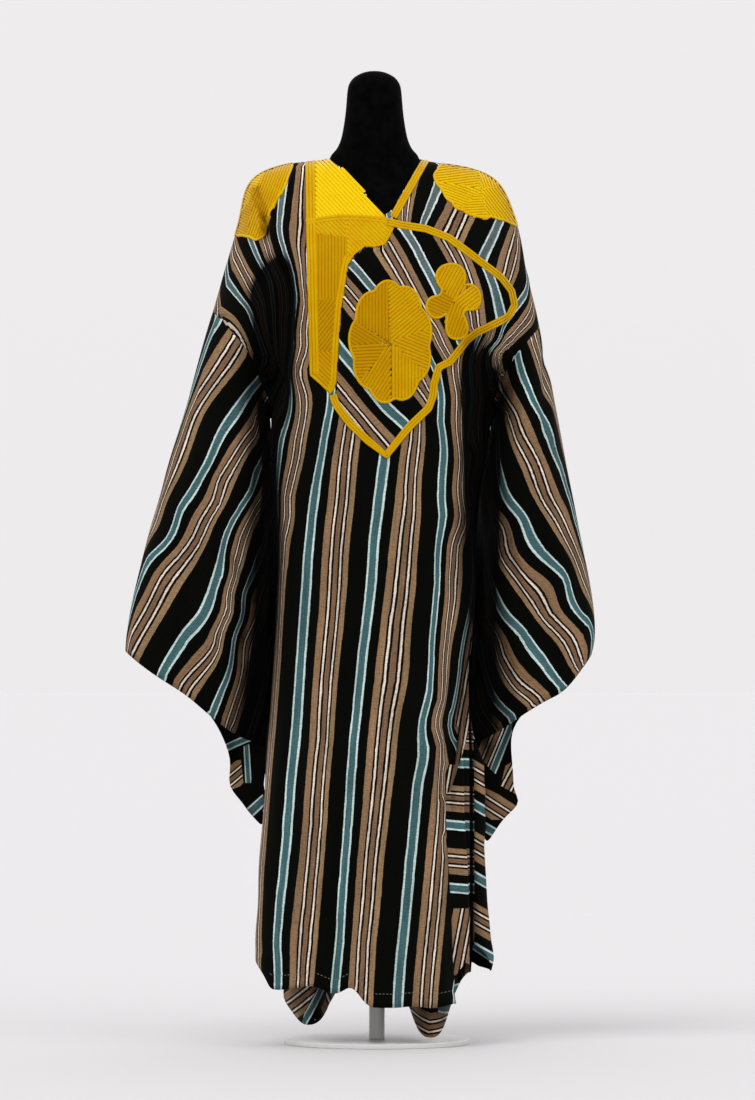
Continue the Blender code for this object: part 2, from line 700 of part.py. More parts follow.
def outline_prism(name, outline):
    """Cutter with the shape of an outline seen from the front."""
    curve = bpy.data.curves.new(name, "CURVE")
    curve.dimensions = "2D"
    curve.fill_mode = "BOTH"
    curve.extrude = CUTTER_REACH
    line = curve.splines.new("POLY")
    line.points.add(len(outline) - 1)
    for point, place in zip(line.points, outline):
        point.co = (place.across, place.height, 0.0, 1.0)
    line.use_cyclic_u = True
    shape = bpy.data.objects.new(name, curve)
    cutters.objects.link(shape)
    shape.rotation_euler = (pi / 2, 0.0, 0.0)
    bpy.context.view_layer.update()
    flat = bpy.data.meshes.new_from_object(shape.evaluated_get(bpy.context.evaluated_depsgraph_get()))
    solid = bmesh.new()
    solid.from_mesh(flat)
    bmesh.ops.remove_doubles(solid, verts=solid.verts, dist=WELD)
    bmesh.ops.recalc_face_normals(solid, faces=solid.faces)
    solid.to_mesh(flat)
    solid.free()
    cutter = bpy.data.objects.new(name + "_outline", flat)
    cutter.matrix_world = shape.matrix_world
    cutter.hide_render = True
    cutter.display_type = "WIRE"
    cutters.objects.link(cutter)
    bpy.data.objects.remove(shape)
    return cutter


def laid_on(name, outline, rows, flip, directions, low, high, sides, material):
    """Something that lies on the cloth: the cloth's own surface moved out, kept only inside an outline."""
    piece = wall(name, rows, flip, directions, low, high, sides, material)
    cut = piece.modifiers.new("outline", "BOOLEAN")
    cut.operation = "INTERSECT"
    cut.solver = "MANIFOLD"
    cut.object = outline_prism(name, outline)
    return piece


# Outlines of the embroidery

def band_outline(places, width):
    """Outline of a band of even width along a line of places."""
    left, right = [], []
    for i, place in enumerate(places):
        before, after = places[max(i - 1, 0)], places[min(i + 1, len(places) - 1)]
        run = hypot(after.across - before.across, after.height - before.height)
        side_x = -(after.height - before.height) / run * width / 2
        side_z = (after.across - before.across) / run * width / 2
        left.append(Place(place.across + side_x, place.height + side_z))
        right.append(Place(place.across - side_x, place.height - side_z))
    return left + right[::-1]


def pocket_outline():
    """Cut edge of the pocket: its band's outer edge, closed along the gold panel beside it."""
    outer_edge = band_outline(POCKET_BAND, BAND_WIDTH)[:len(POCKET_BAND)]
    free_side = [
        Place(place.across + POCKET_CLEARANCE, place.height - POCKET_CLEARANCE) for place in NECK_PANEL[BESIDE_POCKET]
    ]
    return outer_edge + free_side[::-1]


def rosette_outline(rosette):
    """Scalloped oval of equal lobes."""
    places = []
    for i in range(ROSETTE_POINTS):
        angle = 2 * pi * i / ROSETTE_POINTS
        crest = abs(sin(rosette.lobes * angle / 2 + rosette.turn)) ** LOBE_ROUNDNESS
        scallop = 1.0 - rosette.notch * (1.0 - crest)
        across = rosette.across + rosette.half_width * scallop * cos(angle)
        places.append(Place(across, rosette.height + rosette.half_height * scallop * sin(angle)))
    return places


def four_lobe_outline():
    """Outline of the small rosette: four lobes of uneven length round a small core."""
    places = []
    for i in range(ROSETTE_POINTS):
        angle = 2 * pi * i / ROSETTE_POINTS
        reach = ROSETTE_SMALL_CORE
        for lobe in ROSETTE_SMALL_LOBES:
            off = abs((angle - lobe.angle + pi) % (2 * pi) - pi) / (lobe.spread * LOBE_SPREAD)
            reach = max(reach, lobe.reach * max(0.0, 1.0 - off**LOBE_BOXINESS) ** 0.5)
        across = ROSETTE_SMALL.across + reach * cos(angle)
        places.append(Place(across, ROSETTE_SMALL.height + reach * sin(angle)))
    return places


# The dress form and its stand

def dress_form():
    """Torso and neck as one closed loft of rounded sections."""
    mesh = bmesh.new()
    rings = []
    for section in FORM:
        ring = []
        for i in range(FORM_SIDES):
            angle = 2 * pi * i / FORM_SIDES
            across = abs(cos(angle)) ** FORM_ROUNDNESS * (1 if cos(angle) > 0 else -1)
            depth = section.back if sin(angle) > 0 else section.front
            y = depth * abs(sin(angle)) * (1 if sin(angle) > 0 else -1)
            ring.append(mesh.verts.new((FORM_MIDDLE + section.half_width * across, y, section.height)))
        rings.append(ring)
    for lower, upper in zip(rings, rings[1:]):
        for i in range(FORM_SIDES):
            j = (i + 1) % FORM_SIDES
            mesh.faces.new((lower[i], lower[j], upper[j], upper[i]))
    mesh.faces.new(rings[0][::-1])
    crown = mesh.verts.new((FORM_MIDDLE, 0.0, FORM_TOP))
    for i in range(FORM_SIDES):
        mesh.faces.new((rings[-1][i], rings[-1][(i + 1) % FORM_SIDES], crown))
    return finished("dress_form", mesh, velvet)


def cylinder(name, radius, low, high, material, bevel=0.0):
    """Upright round piece about the stand's axis."""
    bpy.ops.mesh.primitive_cylinder_add(
        vertices=ROUND_SIDES, radius=radius, depth=high - low, location=(0.0, 0.0, (low + high) / 2)
    )
    piece = bpy.context.object
    piece.name = name
    piece.data.name = name
    piece.data.materials.append(material)
    for collection in list(piece.users_collection):
        collection.objects.unlink(piece)
    parts.objects.link(piece)
    if bevel:
        edge = piece.modifiers.new("bevel", "BEVEL")
        edge.width = bevel
        edge.segments = 2
    return piece


def surface(name, colour, roughness, metallic=0.0):
    """Principled material for one kind of piece."""
    material = bpy.data.materials.new(name)
    material.use_nodes = True
    shader = material.node_tree.nodes["Principled BSDF"]
    shader.inputs["Base Color"].default_value = (*colour, 1.0)
    shader.inputs["Roughness"].default_value = roughness
    shader.inputs["Metallic"].default_value = metallic
    return material


for old in list(bpy.data.objects):
    bpy.data.objects.remove(old)
parts = bpy.data.collections.new("kaftan")
cutters = bpy.data.collections.new("cutters")
bpy.context.scene.collection.children.link(parts)
bpy.context.scene.collection.children.link(cutters)

cotton = surface("striped_cotton", (0.02, 0.025, 0.025), 0.9)
across_cotton = surface("striped_cotton_cut_across", (0.18, 0.13, 0.08), 0.9)
gold = surface("gold_thread", (0.75, 0.39, 0.0), 0.5)
velvet = surface("black_velvet", (0.005, 0.006, 0.005), 0.95)
paint = surface("pale_paint", (0.80, 0.80, 0.78), 0.4)

# The cloth's surface, grid by grid; edges that are sewn together share their points.
front_rows = panel_grid(True)
back_rows = panel_grid(False)
gore_start = YOKE_ROWS + LEVEL_ROWS.index(GORE_TOP)
grids = {"front_panel": (front_rows, False), "back_panel": (back_rows, True)}
for side, column in (("left", 0), ("right", -1)):
    for front, rows in ((True, front_rows), (False, back_rows)):
        armhole = [row[column] for row in rows[:YOKE_ROWS + 1]]
        name = "sleeve_" + side + ("_front" if front else "_back")
        grids[name] = (sleeve_grid(side, front, armhole), front != (side == "left"))
    cuff = grids["sleeve_" + side + "_back"][0][-1]
    grids["sleeve_gusset_" + side] = (gusset_grid(side, cuff), side == "left")
    front_edge = [row[column] for row in front_rows[gore_start:]]
    back_edge = [row[column] for row in back_rows[gore_start:]]
    grids["side_gore_" + side] = (gore_grid(side, front_edge, back_edge), side == "left")
directions = shared_directions(grids.values())

# The front and back panels. The back is left open where the two godets are let in.
half_gap = SEAM_GAP / 2
panel_sides = {"top": SEAM_GAP, "left": half_gap, "right": half_gap}
godet_top = YOKE_ROWS + LEVEL_ROWS.index(GODET_TOP)
godet_cells = {
    (i, j)
    for flute in FLUTES
    for i in range(godet_top, len(back_rows) - 1)
    for j in range(flute.first, flute.last)
}
wall("front_panel", front_rows, False, directions, -CLOTH, 0.0, panel_sides, cotton)
wall("back_panel", back_rows, True, directions, -CLOTH, 0.0, panel_sides, cotton, godet_cells)
godet_sides = {"top": SEAM_GAP, "left": SEAM_GAP, "right": SEAM_GAP}
for flute in FLUTES:
    block = [row[flute.first:flute.last + 1] for row in back_rows[godet_top:]]
    wall("hem_godet_" + flute.side, block, True, directions, -CLOTH, 0.0, godet_sides, across_cotton)

# Sleeves, gussets and gores.
for side in ("left", "right"):
    for half in ("front", "back"):
        rows, flip = grids["sleeve_" + side + "_" + half]
        name = "sleeve_" + side + "_" + half
        sleeve_sides = {"top": half_gap, "left": half_gap, "right": half_gap}
        if half == "back":
            sleeve_sides["bottom"] = half_gap
        wall(name, rows, flip, directions, -CLOTH, 0.0, sleeve_sides, cotton)
    rows, flip = grids["sleeve_gusset_" + side]
    wall("sleeve_gusset_" + side, rows, flip, directions, -CLOTH, 0.0, {"top": half_gap}, across_cotton)
    rows, flip = grids["side_gore_" + side]
    gore_sides = {"left": half_gap, "right": half_gap}
    wall("side_gore_" + side, rows, flip, directions, -CLOTH, 0.0, gore_sides, across_cotton)

# The pocket on the front, and the couched gold work on it.
ground = front_rows[:LOWEST_GOLD_ROW + 1]
laid_on(
    "pocket", pocket_outline(), ground, False, directions, EMBROIDERY_LOW, POCKET_HIGH, panel_sides, across_cotton
)
pocket_work = {
    "pocket_band": band_outline(POCKET_BAND, BAND_WIDTH),
    "rosette_large": rosette_outline(ROSETTE_LARGE),
    "rosette_small": four_lobe_outline(),
}
for name, outline in pocket_work.items():
    laid_on(name, outline, ground, False, directions, ON_POCKET_LOW, ON_POCKET_HIGH, panel_sides, gold)

# Gold work on the front's own cloth, and over the shoulders on the back.
front_work = {
    "neck_embroidery": NECK_PANEL,
    "neck_band": band_outline(NECK_BAND, BAND_WIDTH),
    "shoulder_rosette_left": rosette_outline(SHOULDER_ROSETTE_LEFT),
    "shoulder_rosette_right": rosette_outline(SHOULDER_ROSETTE_RIGHT),
}
for name, outline in front_work.items():
    laid_on(name, outline, ground, False, directions, EMBROIDERY_LOW, EMBROIDERY_HIGH, panel_sides, gold)
back_ground = back_rows[:YOKE_ROWS + 1]
for name in ("shoulder_rosette_left", "shoulder_rosette_right"):
    laid_on(
        name + "_back", front_work[name], back_ground, True, directions,
        EMBROIDERY_LOW, EMBROIDERY_HIGH, panel_sides, gold,
    )

# The form stands on its pole, and the pole on its base.
dress_form()
cylinder("stand_base", BASE_RADIUS, 0.0, BASE_THICKNESS, paint, BASE_BEVEL)
cylinder("stand_pole", POLE_RADIUS, BASE_THICKNESS + SEAM_GAP, FORM[0].height - SEAM_GAP, paint)
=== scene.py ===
import json
from collections import namedtuple
from math import cos, hypot, pi, radians, sin

import bmesh
import bpy
import numpy as np
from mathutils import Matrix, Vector
from mathutils.bvhtree import BVHTree
from mathutils.kdtree import KDTree

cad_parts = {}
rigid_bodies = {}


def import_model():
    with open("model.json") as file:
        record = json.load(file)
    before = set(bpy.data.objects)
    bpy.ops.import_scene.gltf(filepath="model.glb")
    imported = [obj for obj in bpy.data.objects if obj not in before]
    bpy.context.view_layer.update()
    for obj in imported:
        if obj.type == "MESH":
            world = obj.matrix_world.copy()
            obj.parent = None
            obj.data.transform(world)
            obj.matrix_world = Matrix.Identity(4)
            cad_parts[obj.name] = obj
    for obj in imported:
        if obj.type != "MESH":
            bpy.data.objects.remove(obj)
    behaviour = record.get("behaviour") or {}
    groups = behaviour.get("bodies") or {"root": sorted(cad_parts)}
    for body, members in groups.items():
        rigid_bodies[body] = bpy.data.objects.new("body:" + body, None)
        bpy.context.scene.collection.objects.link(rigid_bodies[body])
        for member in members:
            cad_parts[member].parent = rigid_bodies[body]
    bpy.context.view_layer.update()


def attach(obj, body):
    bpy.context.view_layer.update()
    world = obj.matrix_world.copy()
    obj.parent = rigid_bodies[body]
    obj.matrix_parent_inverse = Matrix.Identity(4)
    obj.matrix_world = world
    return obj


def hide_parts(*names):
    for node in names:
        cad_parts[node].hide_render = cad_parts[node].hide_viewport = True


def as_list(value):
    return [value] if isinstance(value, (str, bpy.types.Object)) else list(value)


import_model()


# Camera, floor and light
# A level camera with a long lens, as in the photograph, before a floor of pale matt paper.
# Two wide soft lights from the front and one from behind light the floor evenly all over.
CAMERA_DISTANCE = 12.0
CAMERA_ACROSS = 0.001
CAMERA_HEIGHT = 0.794
VIEW_HEIGHT = 1.76
NEAREST_SURFACE = -0.07
SENSOR = 36.0
ZENITH_BRIGHTNESS = 1.22


def linear(code):
    """Linear colour of an sRGB hex code such as "3f6b74"."""
    channels = [int(code[i:i + 2], 16) / 255 for i in (0, 2, 4)]
    return tuple(c / 12.92 if c <= 0.04045 else ((c + 0.055) / 1.055) ** 2.4 for c in channels) + (1.0,)


def node(owner, kind, settings=(), **links):
    """Add a node to a material or world, set its attributes and sockets, and link the sockets given."""
    made = owner.node_tree.nodes.new("ShaderNode" + kind)
    for name, value in dict(settings).items():
        if hasattr(made, name):
            setattr(made, name, value)
        else:
            made.inputs[name].default_value = value
    for name, source in links.items():
        target = made.inputs[int(name[1:])] if name[1:].isdigit() else made.inputs[name.replace("_", " ")]
        owner.node_tree.links.new(source, target)
    return made


def join_nodes(owner, source, target):
    owner.node_tree.links.new(source, target)


def maths(owner, operation, *values):
    """The result of a maths node, each of its values a number or a socket."""
    made = node(owner, "Math", {"operation": operation})
    for socket, value in zip(made.inputs, values):
        if isinstance(value, float):
            socket.default_value = value
        else:
            join_nodes(owner, value, socket)
    return made.outputs[0]


def new_material(name, **values):
    """A new material and its shader, with some of the shader's sockets set."""
    material = bpy.data.materials.new(name)
    material.use_nodes = True
    shader = material.node_tree.nodes["Principled BSDF"]
    for socket, value in values.items():
        shader.inputs[socket.replace("_", " ")].default_value = value
    return material, shader


def add_object(name, data, *materials):
    """A new object at the origin, with its materials."""
    made = bpy.data.objects.new(name, data)
    bpy.context.scene.collection.objects.link(made)
    for material in materials:
        data.materials.append(material)
    return made


camera_data = bpy.data.cameras.new("camera")
camera_data.sensor_fit = "VERTICAL"
camera_data.sensor_height = SENSOR
camera_data.lens = SENSOR * CAMERA_DISTANCE / VIEW_HEIGHT
camera_data.clip_end = 100.0
camera = add_object("camera", camera_data)
camera.location = (CAMERA_ACROSS, NEAREST_SURFACE - CAMERA_DISTANCE, CAMERA_HEIGHT)
camera.rotation_euler = (pi / 2, 0.0, 0.0)
bpy.context.scene.camera = camera
bpy.context.scene.view_settings.view_transform = "Standard"

bpy.ops.object.select_all(action="DESELECT")
bpy.ops.mesh.primitive_circle_add(vertices=96, radius=30.0, fill_type="NGON", location=(0.0, 0.0, 0.0))
floor = bpy.context.object
floor.name = "floor"
paper, _ = new_material("matt_paper_floor", Base_Color=linear("c7c6c7"), Roughness=0.9)
floor.data.materials.append(paper)

world = bpy.data.worlds.new("studio")
world.use_nodes = True
background = world.node_tree.nodes["Background"]
background.inputs["Color"].default_value = linear("edebec")
up = node(world, "TexCoord")
rise = node(world, "SeparateXYZ", (), _0=up.outputs["Generated"])
brighter = node(world, "MapRange", {"To Min": 1.0, "To Max": ZENITH_BRIGHTNESS}, Value=rise.outputs["Z"])
join_nodes(world, brighter.outputs[0], background.inputs["Strength"])
bpy.context.scene.world = world

for name, power, spread, turn in (
    ("front_left", 1.30, 0.6, (0.62, 0.0, -0.55)),
    ("front_right", 0.40, 0.9, (0.85, 0.0, 0.80)),
    ("behind", 0.25, 1.0, (-0.85, 0.0, -0.20)),
):
    light_data = bpy.data.lights.new(name, "SUN")
    light_data.angle = spread
    light_data.energy = power
    add_object(name, light_data).rotation_euler = turn


# The gown's cloth as one surface
# Handwoven cotton strips, sewn edge to edge and cut into a front, a back, two sleeves, gussets and gores.
# The outer faces of the walls are joined at their seams, smoothed, and given their creases.
CLOTH = 0.0012
SEAM_REACH = 0.0014
SAME_PLACE = 0.00001
SMALL_HOLE = 19
SMOOTHINGS = 2
FOLD_SHARPNESS = 0.85
# A wall's inner face behind an outer one: the cosine that they stay under, the least and the most metres.
GORE_BEHIND = (-0.8, 0.0012, 0.0036)
CLOTH_BEHIND = (-0.6, 0.0009, 0.0045)
OUTWARDS = {
    "front_panel": (0, -1, 0), "back_panel": (0, 1, 0),
    "hem_godet_left": (0, 1, 0), "hem_godet_right": (0, 1, 0),
    "sleeve_left_front": (0, -1, 0), "sleeve_left_back": (0, 1, 0),
    "sleeve_right_front": (0, -1, 0), "sleeve_right_back": (0, 1, 0),
    "sleeve_gusset_left": (0, 1, 0), "sleeve_gusset_right": (0, 1, 0),
    "side_gore_left": (-1, 0, 0), "side_gore_right": (1, 0, 0),
}
NODES = list(OUTWARDS)


def apply_modifier(made, kind, **settings):
    """Give an object a modifier, and make the result its own mesh."""
    modifier = made.modifiers.new(kind, kind)
    for name, value in settings.items():
        setattr(modifier, name, value)
    bpy.ops.object.select_all(action="DESELECT")
    made.select_set(True)
    bpy.context.view_layer.objects.active = made
    bpy.ops.object.modifier_apply(modifier=kind)


def balanced_tree(points):
    tree = KDTree(len(points))
    for number, point in enumerate(points):
        tree.insert(point, number)
    tree.balance()
    return tree


def outer_faces(name):
    """Corner points of the faces on a wall's outer side, leaving out its inner side and its rims."""
    mesh = bmesh.new()
    mesh.from_mesh(bpy.data.objects[name].data)
    bmesh.ops.remove_doubles(mesh, verts=mesh.verts, dist=SAME_PLACE)
    mesh.normal_update()
    mesh.faces.ensure_lookup_table()
    middles = [face.calc_center_median() for face in mesh.faces]
    tree = balanced_tree(middles)
    facing, least, most = GORE_BEHIND if "gore" in name else CLOTH_BEHIND
    cloth = {}
    for face, middle in zip(mesh.faces, middles):
        for _, number, _ in tree.find_range(middle, most):
            behind = (middles[number] - middle).dot(face.normal) < -least
            if behind and face.normal.dot(mesh.faces[number].normal) < facing:
                cloth[face] = True
                break
    best, best_flux = [], 0.0
    outwards = Vector(OUTWARDS[name])
    while cloth:
        island, waiting = [], [cloth.popitem()[0]]
        while waiting:
            face = waiting.pop()
            island.append(face)
            for edge in face.edges:
                for other in edge.link_faces:
                    if other in cloth:
                        del cloth[other]
                        waiting.append(other)
        flux = sum(face.calc_area() * face.normal.dot(outwards) for face in island)
        if flux > best_flux:
            best, best_flux = island, flux
    corners = [[vert.co.copy() for vert in face.verts] for face in best]
    mesh.free()
    return corners


def sew(mesh, reach):
    """Join the edges of neighbouring pieces, each point to the mean of those that meet there."""
    owner = {vert: vert.link_faces[0][piece_of] for vert in mesh.verts if vert.is_boundary}
    edge_verts = list(owner)
    tree = balanced_tree([vert.co for vert in edge_verts])
    group = list(range(len(edge_verts)))

    def leader(number):
        while group[number] != number:
            number = group[number]
        return number

    for number, vert in enumerate(edge_verts):
        for _, other, _ in tree.find_range(vert.co, reach):
            if owner[edge_verts[other]] != owner[vert]:
                group[leader(other)] = leader(number)
    together = {}
    for number, vert in enumerate(edge_verts):
        together.setdefault(leader(number), []).append(vert)
    joined = {}
    for verts in together.values():
        middle = sum((vert.co for vert in verts), Vector()) / len(verts)
        for vert in verts:
            vert.co = middle
            if vert is not verts[0]:
                joined[vert] = verts[0]
    bmesh.ops.weld_verts(mesh, targetmap=joined)


gown = bmesh.new()
piece_of = gown.faces.layers.int.new("piece")
for number, name in enumerate(NODES):
    made = {}
    for corners in outer_faces(name):
        for corner in corners:
            if tuple(corner) not in made:
                made[tuple(corner)] = gown.verts.new(corner)
        face = gown.faces.new([made[tuple(corner)] for corner in corners])
        face[piece_of] = number
sew(gown, SEAM_REACH)
bmesh.ops.holes_fill(gown, edges=[e for e in gown.edges if e.is_boundary], sides=SMALL_HOLE)
for face in gown.faces:
    beside = [other for edge in face.edges for other in edge.link_faces if other is not face]
    if len(face.verts) > 3 and beside:
        face[piece_of] = beside[0][piece_of]
bmesh.ops.triangulate(gown, faces=[f for f in gown.faces if len(f.verts) > 4])
bmesh.ops.recalc_face_normals(gown, faces=gown.faces)
bmesh.ops.join_triangles(gown, faces=gown.faces, angle_face_threshold=pi, angle_shape_threshold=pi)
sharp = gown.edges.layers.float.new("crease_edge")
for edge in gown.edges:
    sides = {NODES[face[piece_of]][:11] for face in edge.link_faces}
    halves = {face[piece_of] for face in edge.link_faces}
    if len(halves) == 2 and len(sides) == 1 and sides.pop().startswith("sleeve"):
        edge[sharp] = FOLD_SHARPNESS
cage = bpy.data.meshes.new("gown")
gown.to_mesh(cage)
gown.free()
gown = add_object("gown", cage)
apply_modifier(gown, "SUBSURF", levels=SMOOTHINGS, render_levels=SMOOTHINGS, boundary_smooth="ALL")


def eased(share):
    """A share of 0 to 1 that starts and ends gently."""
    share = np.clip(share, 0.0, 1.0)
    return share * share * (3.0 - 2.0 * share)


# Creases, each from a top to a bottom place with a bow sideways: places, bow and width in the photograph's
# pixels, depth in millimetres, a ridge where negative. Those on hidden sides are like the rest.
PIXEL = 0.0016
MIDDLE_PIXEL = 377.0
GROUND_PIXEL = 1040.0
GROUND_PIXEL_HEIGHT = 0.010
Crease = namedtuple("Crease", "px_top py_top px_bottom py_bottom bow width depth")


def across_at(px):
    return (px - MIDDLE_PIXEL) * PIXEL


def height_at(py):
    return (GROUND_PIXEL - py) * PIXEL + GROUND_PIXEL_HEIGHT


def as_pixels(point):
    """Where a point in metres is seen on the photograph."""
    return point[0] / PIXEL + MIDDLE_PIXEL, GROUND_PIXEL - (point[2] - GROUND_PIXEL_HEIGHT) / PIXEL


def table(kind, rows_by_name):
    """Plain rows under names, as rows of one kind."""
    return {name: tuple(kind(*row) for row in rows) for name, rows in rows_by_name.items()}


CREASES = table(Crease, {
    "front_panel": (
        (279, 238, 285, 430, -2, 9, 18), (260, 252, 276, 400, -3, 9, 14), (256, 180, 262, 240, 2, 4, 8),
        (246, 250, 262, 330, -5, 5, -3), (302, 240, 302, 430, 0, 6, -4.5), (300, 430, 262, 960, 4, 6, 3),
        (352, 430, 322, 1000, -4, 6, 3.5), (330, 520, 306, 900, 3, 5, -2.2),
        (396, 470, 352, 1010, 5, 7, -3), (424, 440, 388, 1000, -3, 6, 3.4),
        (446, 395, 432, 860, -6, 5, -3.2), (456, 520, 440, 790, 3, 4, 3.5),
        (466, 400, 468, 640, 3, 5, -4.5), (484, 318, 478, 600, 2, 8, 17), (512, 300, 488, 400, 4, 4, 4),
        (528, 262, 500, 372, 3, 4, -3), (470, 215, 452, 240, 0, 6, 1.5), (412, 640, 396, 980, 2, 4, -1.6),
        (372, 600, 348, 990, -2, 4, 1.5), (282, 700, 272, 980, 2, 4, -1.8),
        (310, 640, 296, 990, -2, 4, 1.6), (346, 340, 420, 400, 2, 5, 1.2), (372, 252, 440, 330, 0, 5, -1.2),
    ),
    "back_panel": (
        (300, 240, 286, 900, 8, 7, 5), (330, 300, 318, 980, -6, 7, -4), (356, 210, 350, 700, 4, 6, 3),
        (384, 260, 380, 1000, 6, 7, 5.5), (412, 330, 420, 960, -5, 6, -4), (440, 230, 446, 880, 7, 7, 4.6),
        (266, 260, 262, 420, 4, 5, 6), (492, 250, 484, 430, -4, 5, 6), (370, 620, 366, 1000, 2, 4, -2.2),
        (400, 560, 404, 990, -2, 4, 2), (430, 640, 434, 960, 2, 4, -2), (340, 640, 334, 960, 2, 4, 2),
    ),
    "sleeve_left": (
        (240, 372, 190, 655, 6, 6, -3), (222, 420, 246, 590, -16, 5, 4.5), (256, 400, 226, 700, 14, 6, 4),
        (262, 450, 244, 700, 5, 4, -3.5), (208, 360, 150, 600, 4, 6, 2.4), (224, 560, 196, 690, -6, 5, -3),
        (176, 520, 160, 668, 3, 5, 1.8), (196, 560, 178, 672, -3, 4, 2.4), (270, 500, 262, 740, 4, 4, 5),
    ),
    "sleeve_right": (
        (544, 340, 546, 452, -1, 3, 4.5), (552, 350, 556, 450, -1, 3, -2.4),
        (500, 400, 530, 640, -12, 6, 4), (520, 420, 566, 620, 8, 6, -3), (488, 470, 500, 700, -8, 5, 4.6),
        (492, 560, 520, 700, 4, 5, -3), (534, 520, 552, 690, 4, 5, 2.6), (568, 500, 586, 640, 4, 5, 2),
        (478, 420, 482, 720, -3, 4, 5.5),
    ),
    "side_gore_left": ((262, 760, 256, 960, 2, 5, 2), (270, 700, 266, 950, -1, 4, -1.5)),
    "side_gore_right": ((458, 760, 458, 960, 2, 4, 2), (484, 740, 482, 960, -2, 4, -2)),
    "hem_godet": (
        (300, 880, 296, 1010, 2, 5, 2), (324, 900, 322, 1010, -2, 5, -2), (420, 880, 424, 1020, 2, 5, 2),
        (444, 900, 440, 1010, -2, 4, -2),
    ),
    "sleeve_gusset": ((236, 740, 252, 800, 2, 4, 2.4), (500, 730, 498, 810, 2, 4, 2.4)),
})


# A crease fades in over a share of its run and out again, at once where it ends at the hem.
FADE_IN = 0.22
FADE_OUT = 0.18
FADE_OUT_AT_HEM = 0.02
HEM_PIXEL = 950


def creased(across, height, creases):
    """How far the creases press the cloth in at each point, in metres.

    Each wanders sideways, swells and deepens along its run, out of step with the next.
    """
    total = np.zeros(len(across))
    px, py = as_pixels((across, 0.0, height))
    for number, crease in enumerate(creases):
        run = (py - crease.py_top) / (crease.py_bottom - crease.py_top)
        inside = np.clip(run, 0.0, 1.0)
        wave = 0.6 * crease.width * np.sin(5.0 * inside + 2.1 * number)
        middle = crease.px_top + (crease.px_bottom - crease.px_top) * inside
        middle = middle + crease.bow * np.sin(pi * inside) + wave
        width = crease.width * (0.8 + 0.5 * np.sin(3.0 * inside + number) ** 2)
        fade_out = FADE_OUT if crease.py_bottom < HEM_PIXEL else FADE_OUT_AT_HEM
        fade = eased(run / FADE_IN) * eased((1.0 - run) / fade_out)
        uneven = 0.75 + 0.25 * np.sin(7.0 * inside + 1.3 * number)
        total += 0.001 * crease.depth * fade * uneven * np.exp(-((px - middle) / width) ** 2)
    return total


# Under the arms each sleeve's inner fold lies close behind the body's side, so that no light shows between.
Tuck = namedtuple("Tuck", "height sleeve_left sleeve_right body_left body_right share")
TUCKS = tuple(Tuck(*row) for row in (
    (0.45, -0.176, 0.162, -0.178, 0.146, 0.3), (0.6, -0.164, 0.157, -0.176, 0.152, 0.55),
    (0.74, -0.156, 0.155, -0.17, 0.156, 0.6), (0.874, -0.16, 0.163, -0.166, 0.16, 0.8),
    (0.93, -0.168, 0.174, -0.166, 0.163, 1), (0.985, -0.176, 0.1875, -0.168, 0.17, 1),
    (1.015, -0.174, 0.187, -0.17, 0.176, 0.7), (1.042, -0.171, 0.186, -0.171, 0.186, 0),
))
TUCK_WIDTH = 0.035
TUCK_IN = 0.006
TUCK_BACK = 0.018
BODY_OUT = 0.006
BODY_DEPTH = 0.05


def tucked(across, depth, height, piece):
    """How far the cloth of a sleeve or of the body moves across and back beside an underarm."""
    def at(column):
        return np.interp(height, [tuck.height for tuck in TUCKS], [getattr(tuck, column) for tuck in TUCKS])

    left = across < 0.0
    edge = np.where(left, at(piece + "_left"), at(piece + "_right"))
    near = at("share") * np.exp(-(((across - edge) / TUCK_WIDTH) ** 2))
    if piece == "sleeve":
        return np.where(left, TUCK_IN, -TUCK_IN) * near, TUCK_BACK * near
    near = near * np.exp(-((depth / BODY_DEPTH) ** 2))
    return np.where(left, -BODY_OUT, BODY_OUT) * near, 0.0 * near


# The shoulders, stiff with gold thread, stand a little proud of the rest. Places and widths are in pixels.
Puff = namedtuple("Puff", "px py width lift")
PUFFS = tuple(Puff(*row) for row in (
    (256, 184, 26, 0.0105), (286, 166, 22, 0.005), (492, 182, 26, 0.0085), (462, 164, 22, 0.004),
))

points = np.array([tuple(vert.co) for vert in gown.data.vertices])
normals = np.array([tuple(vert.normal) for vert in gown.data.vertices])
face_verts = [tuple(face.vertices) for face in gown.data.polygons]
face_piece = [item.value for item in gown.data.attributes["piece"].data]
verts_of = {name: set() for name in NODES}
for verts, number in zip(face_verts, face_piece):
    verts_of[NODES[number]].update(verts)
for kind, piece in (("sleeve_left", "sleeve"), ("sleeve_right", "sleeve"), ("panel", "body")):
    here = sorted(set().union(*(verts for name, verts in verts_of.items() if kind in name)))
    in_or_out, back = tucked(points[here, 0], points[here, 1], points[here, 2], piece)
    points[here, 0] += in_or_out
    points[here, 1] += back
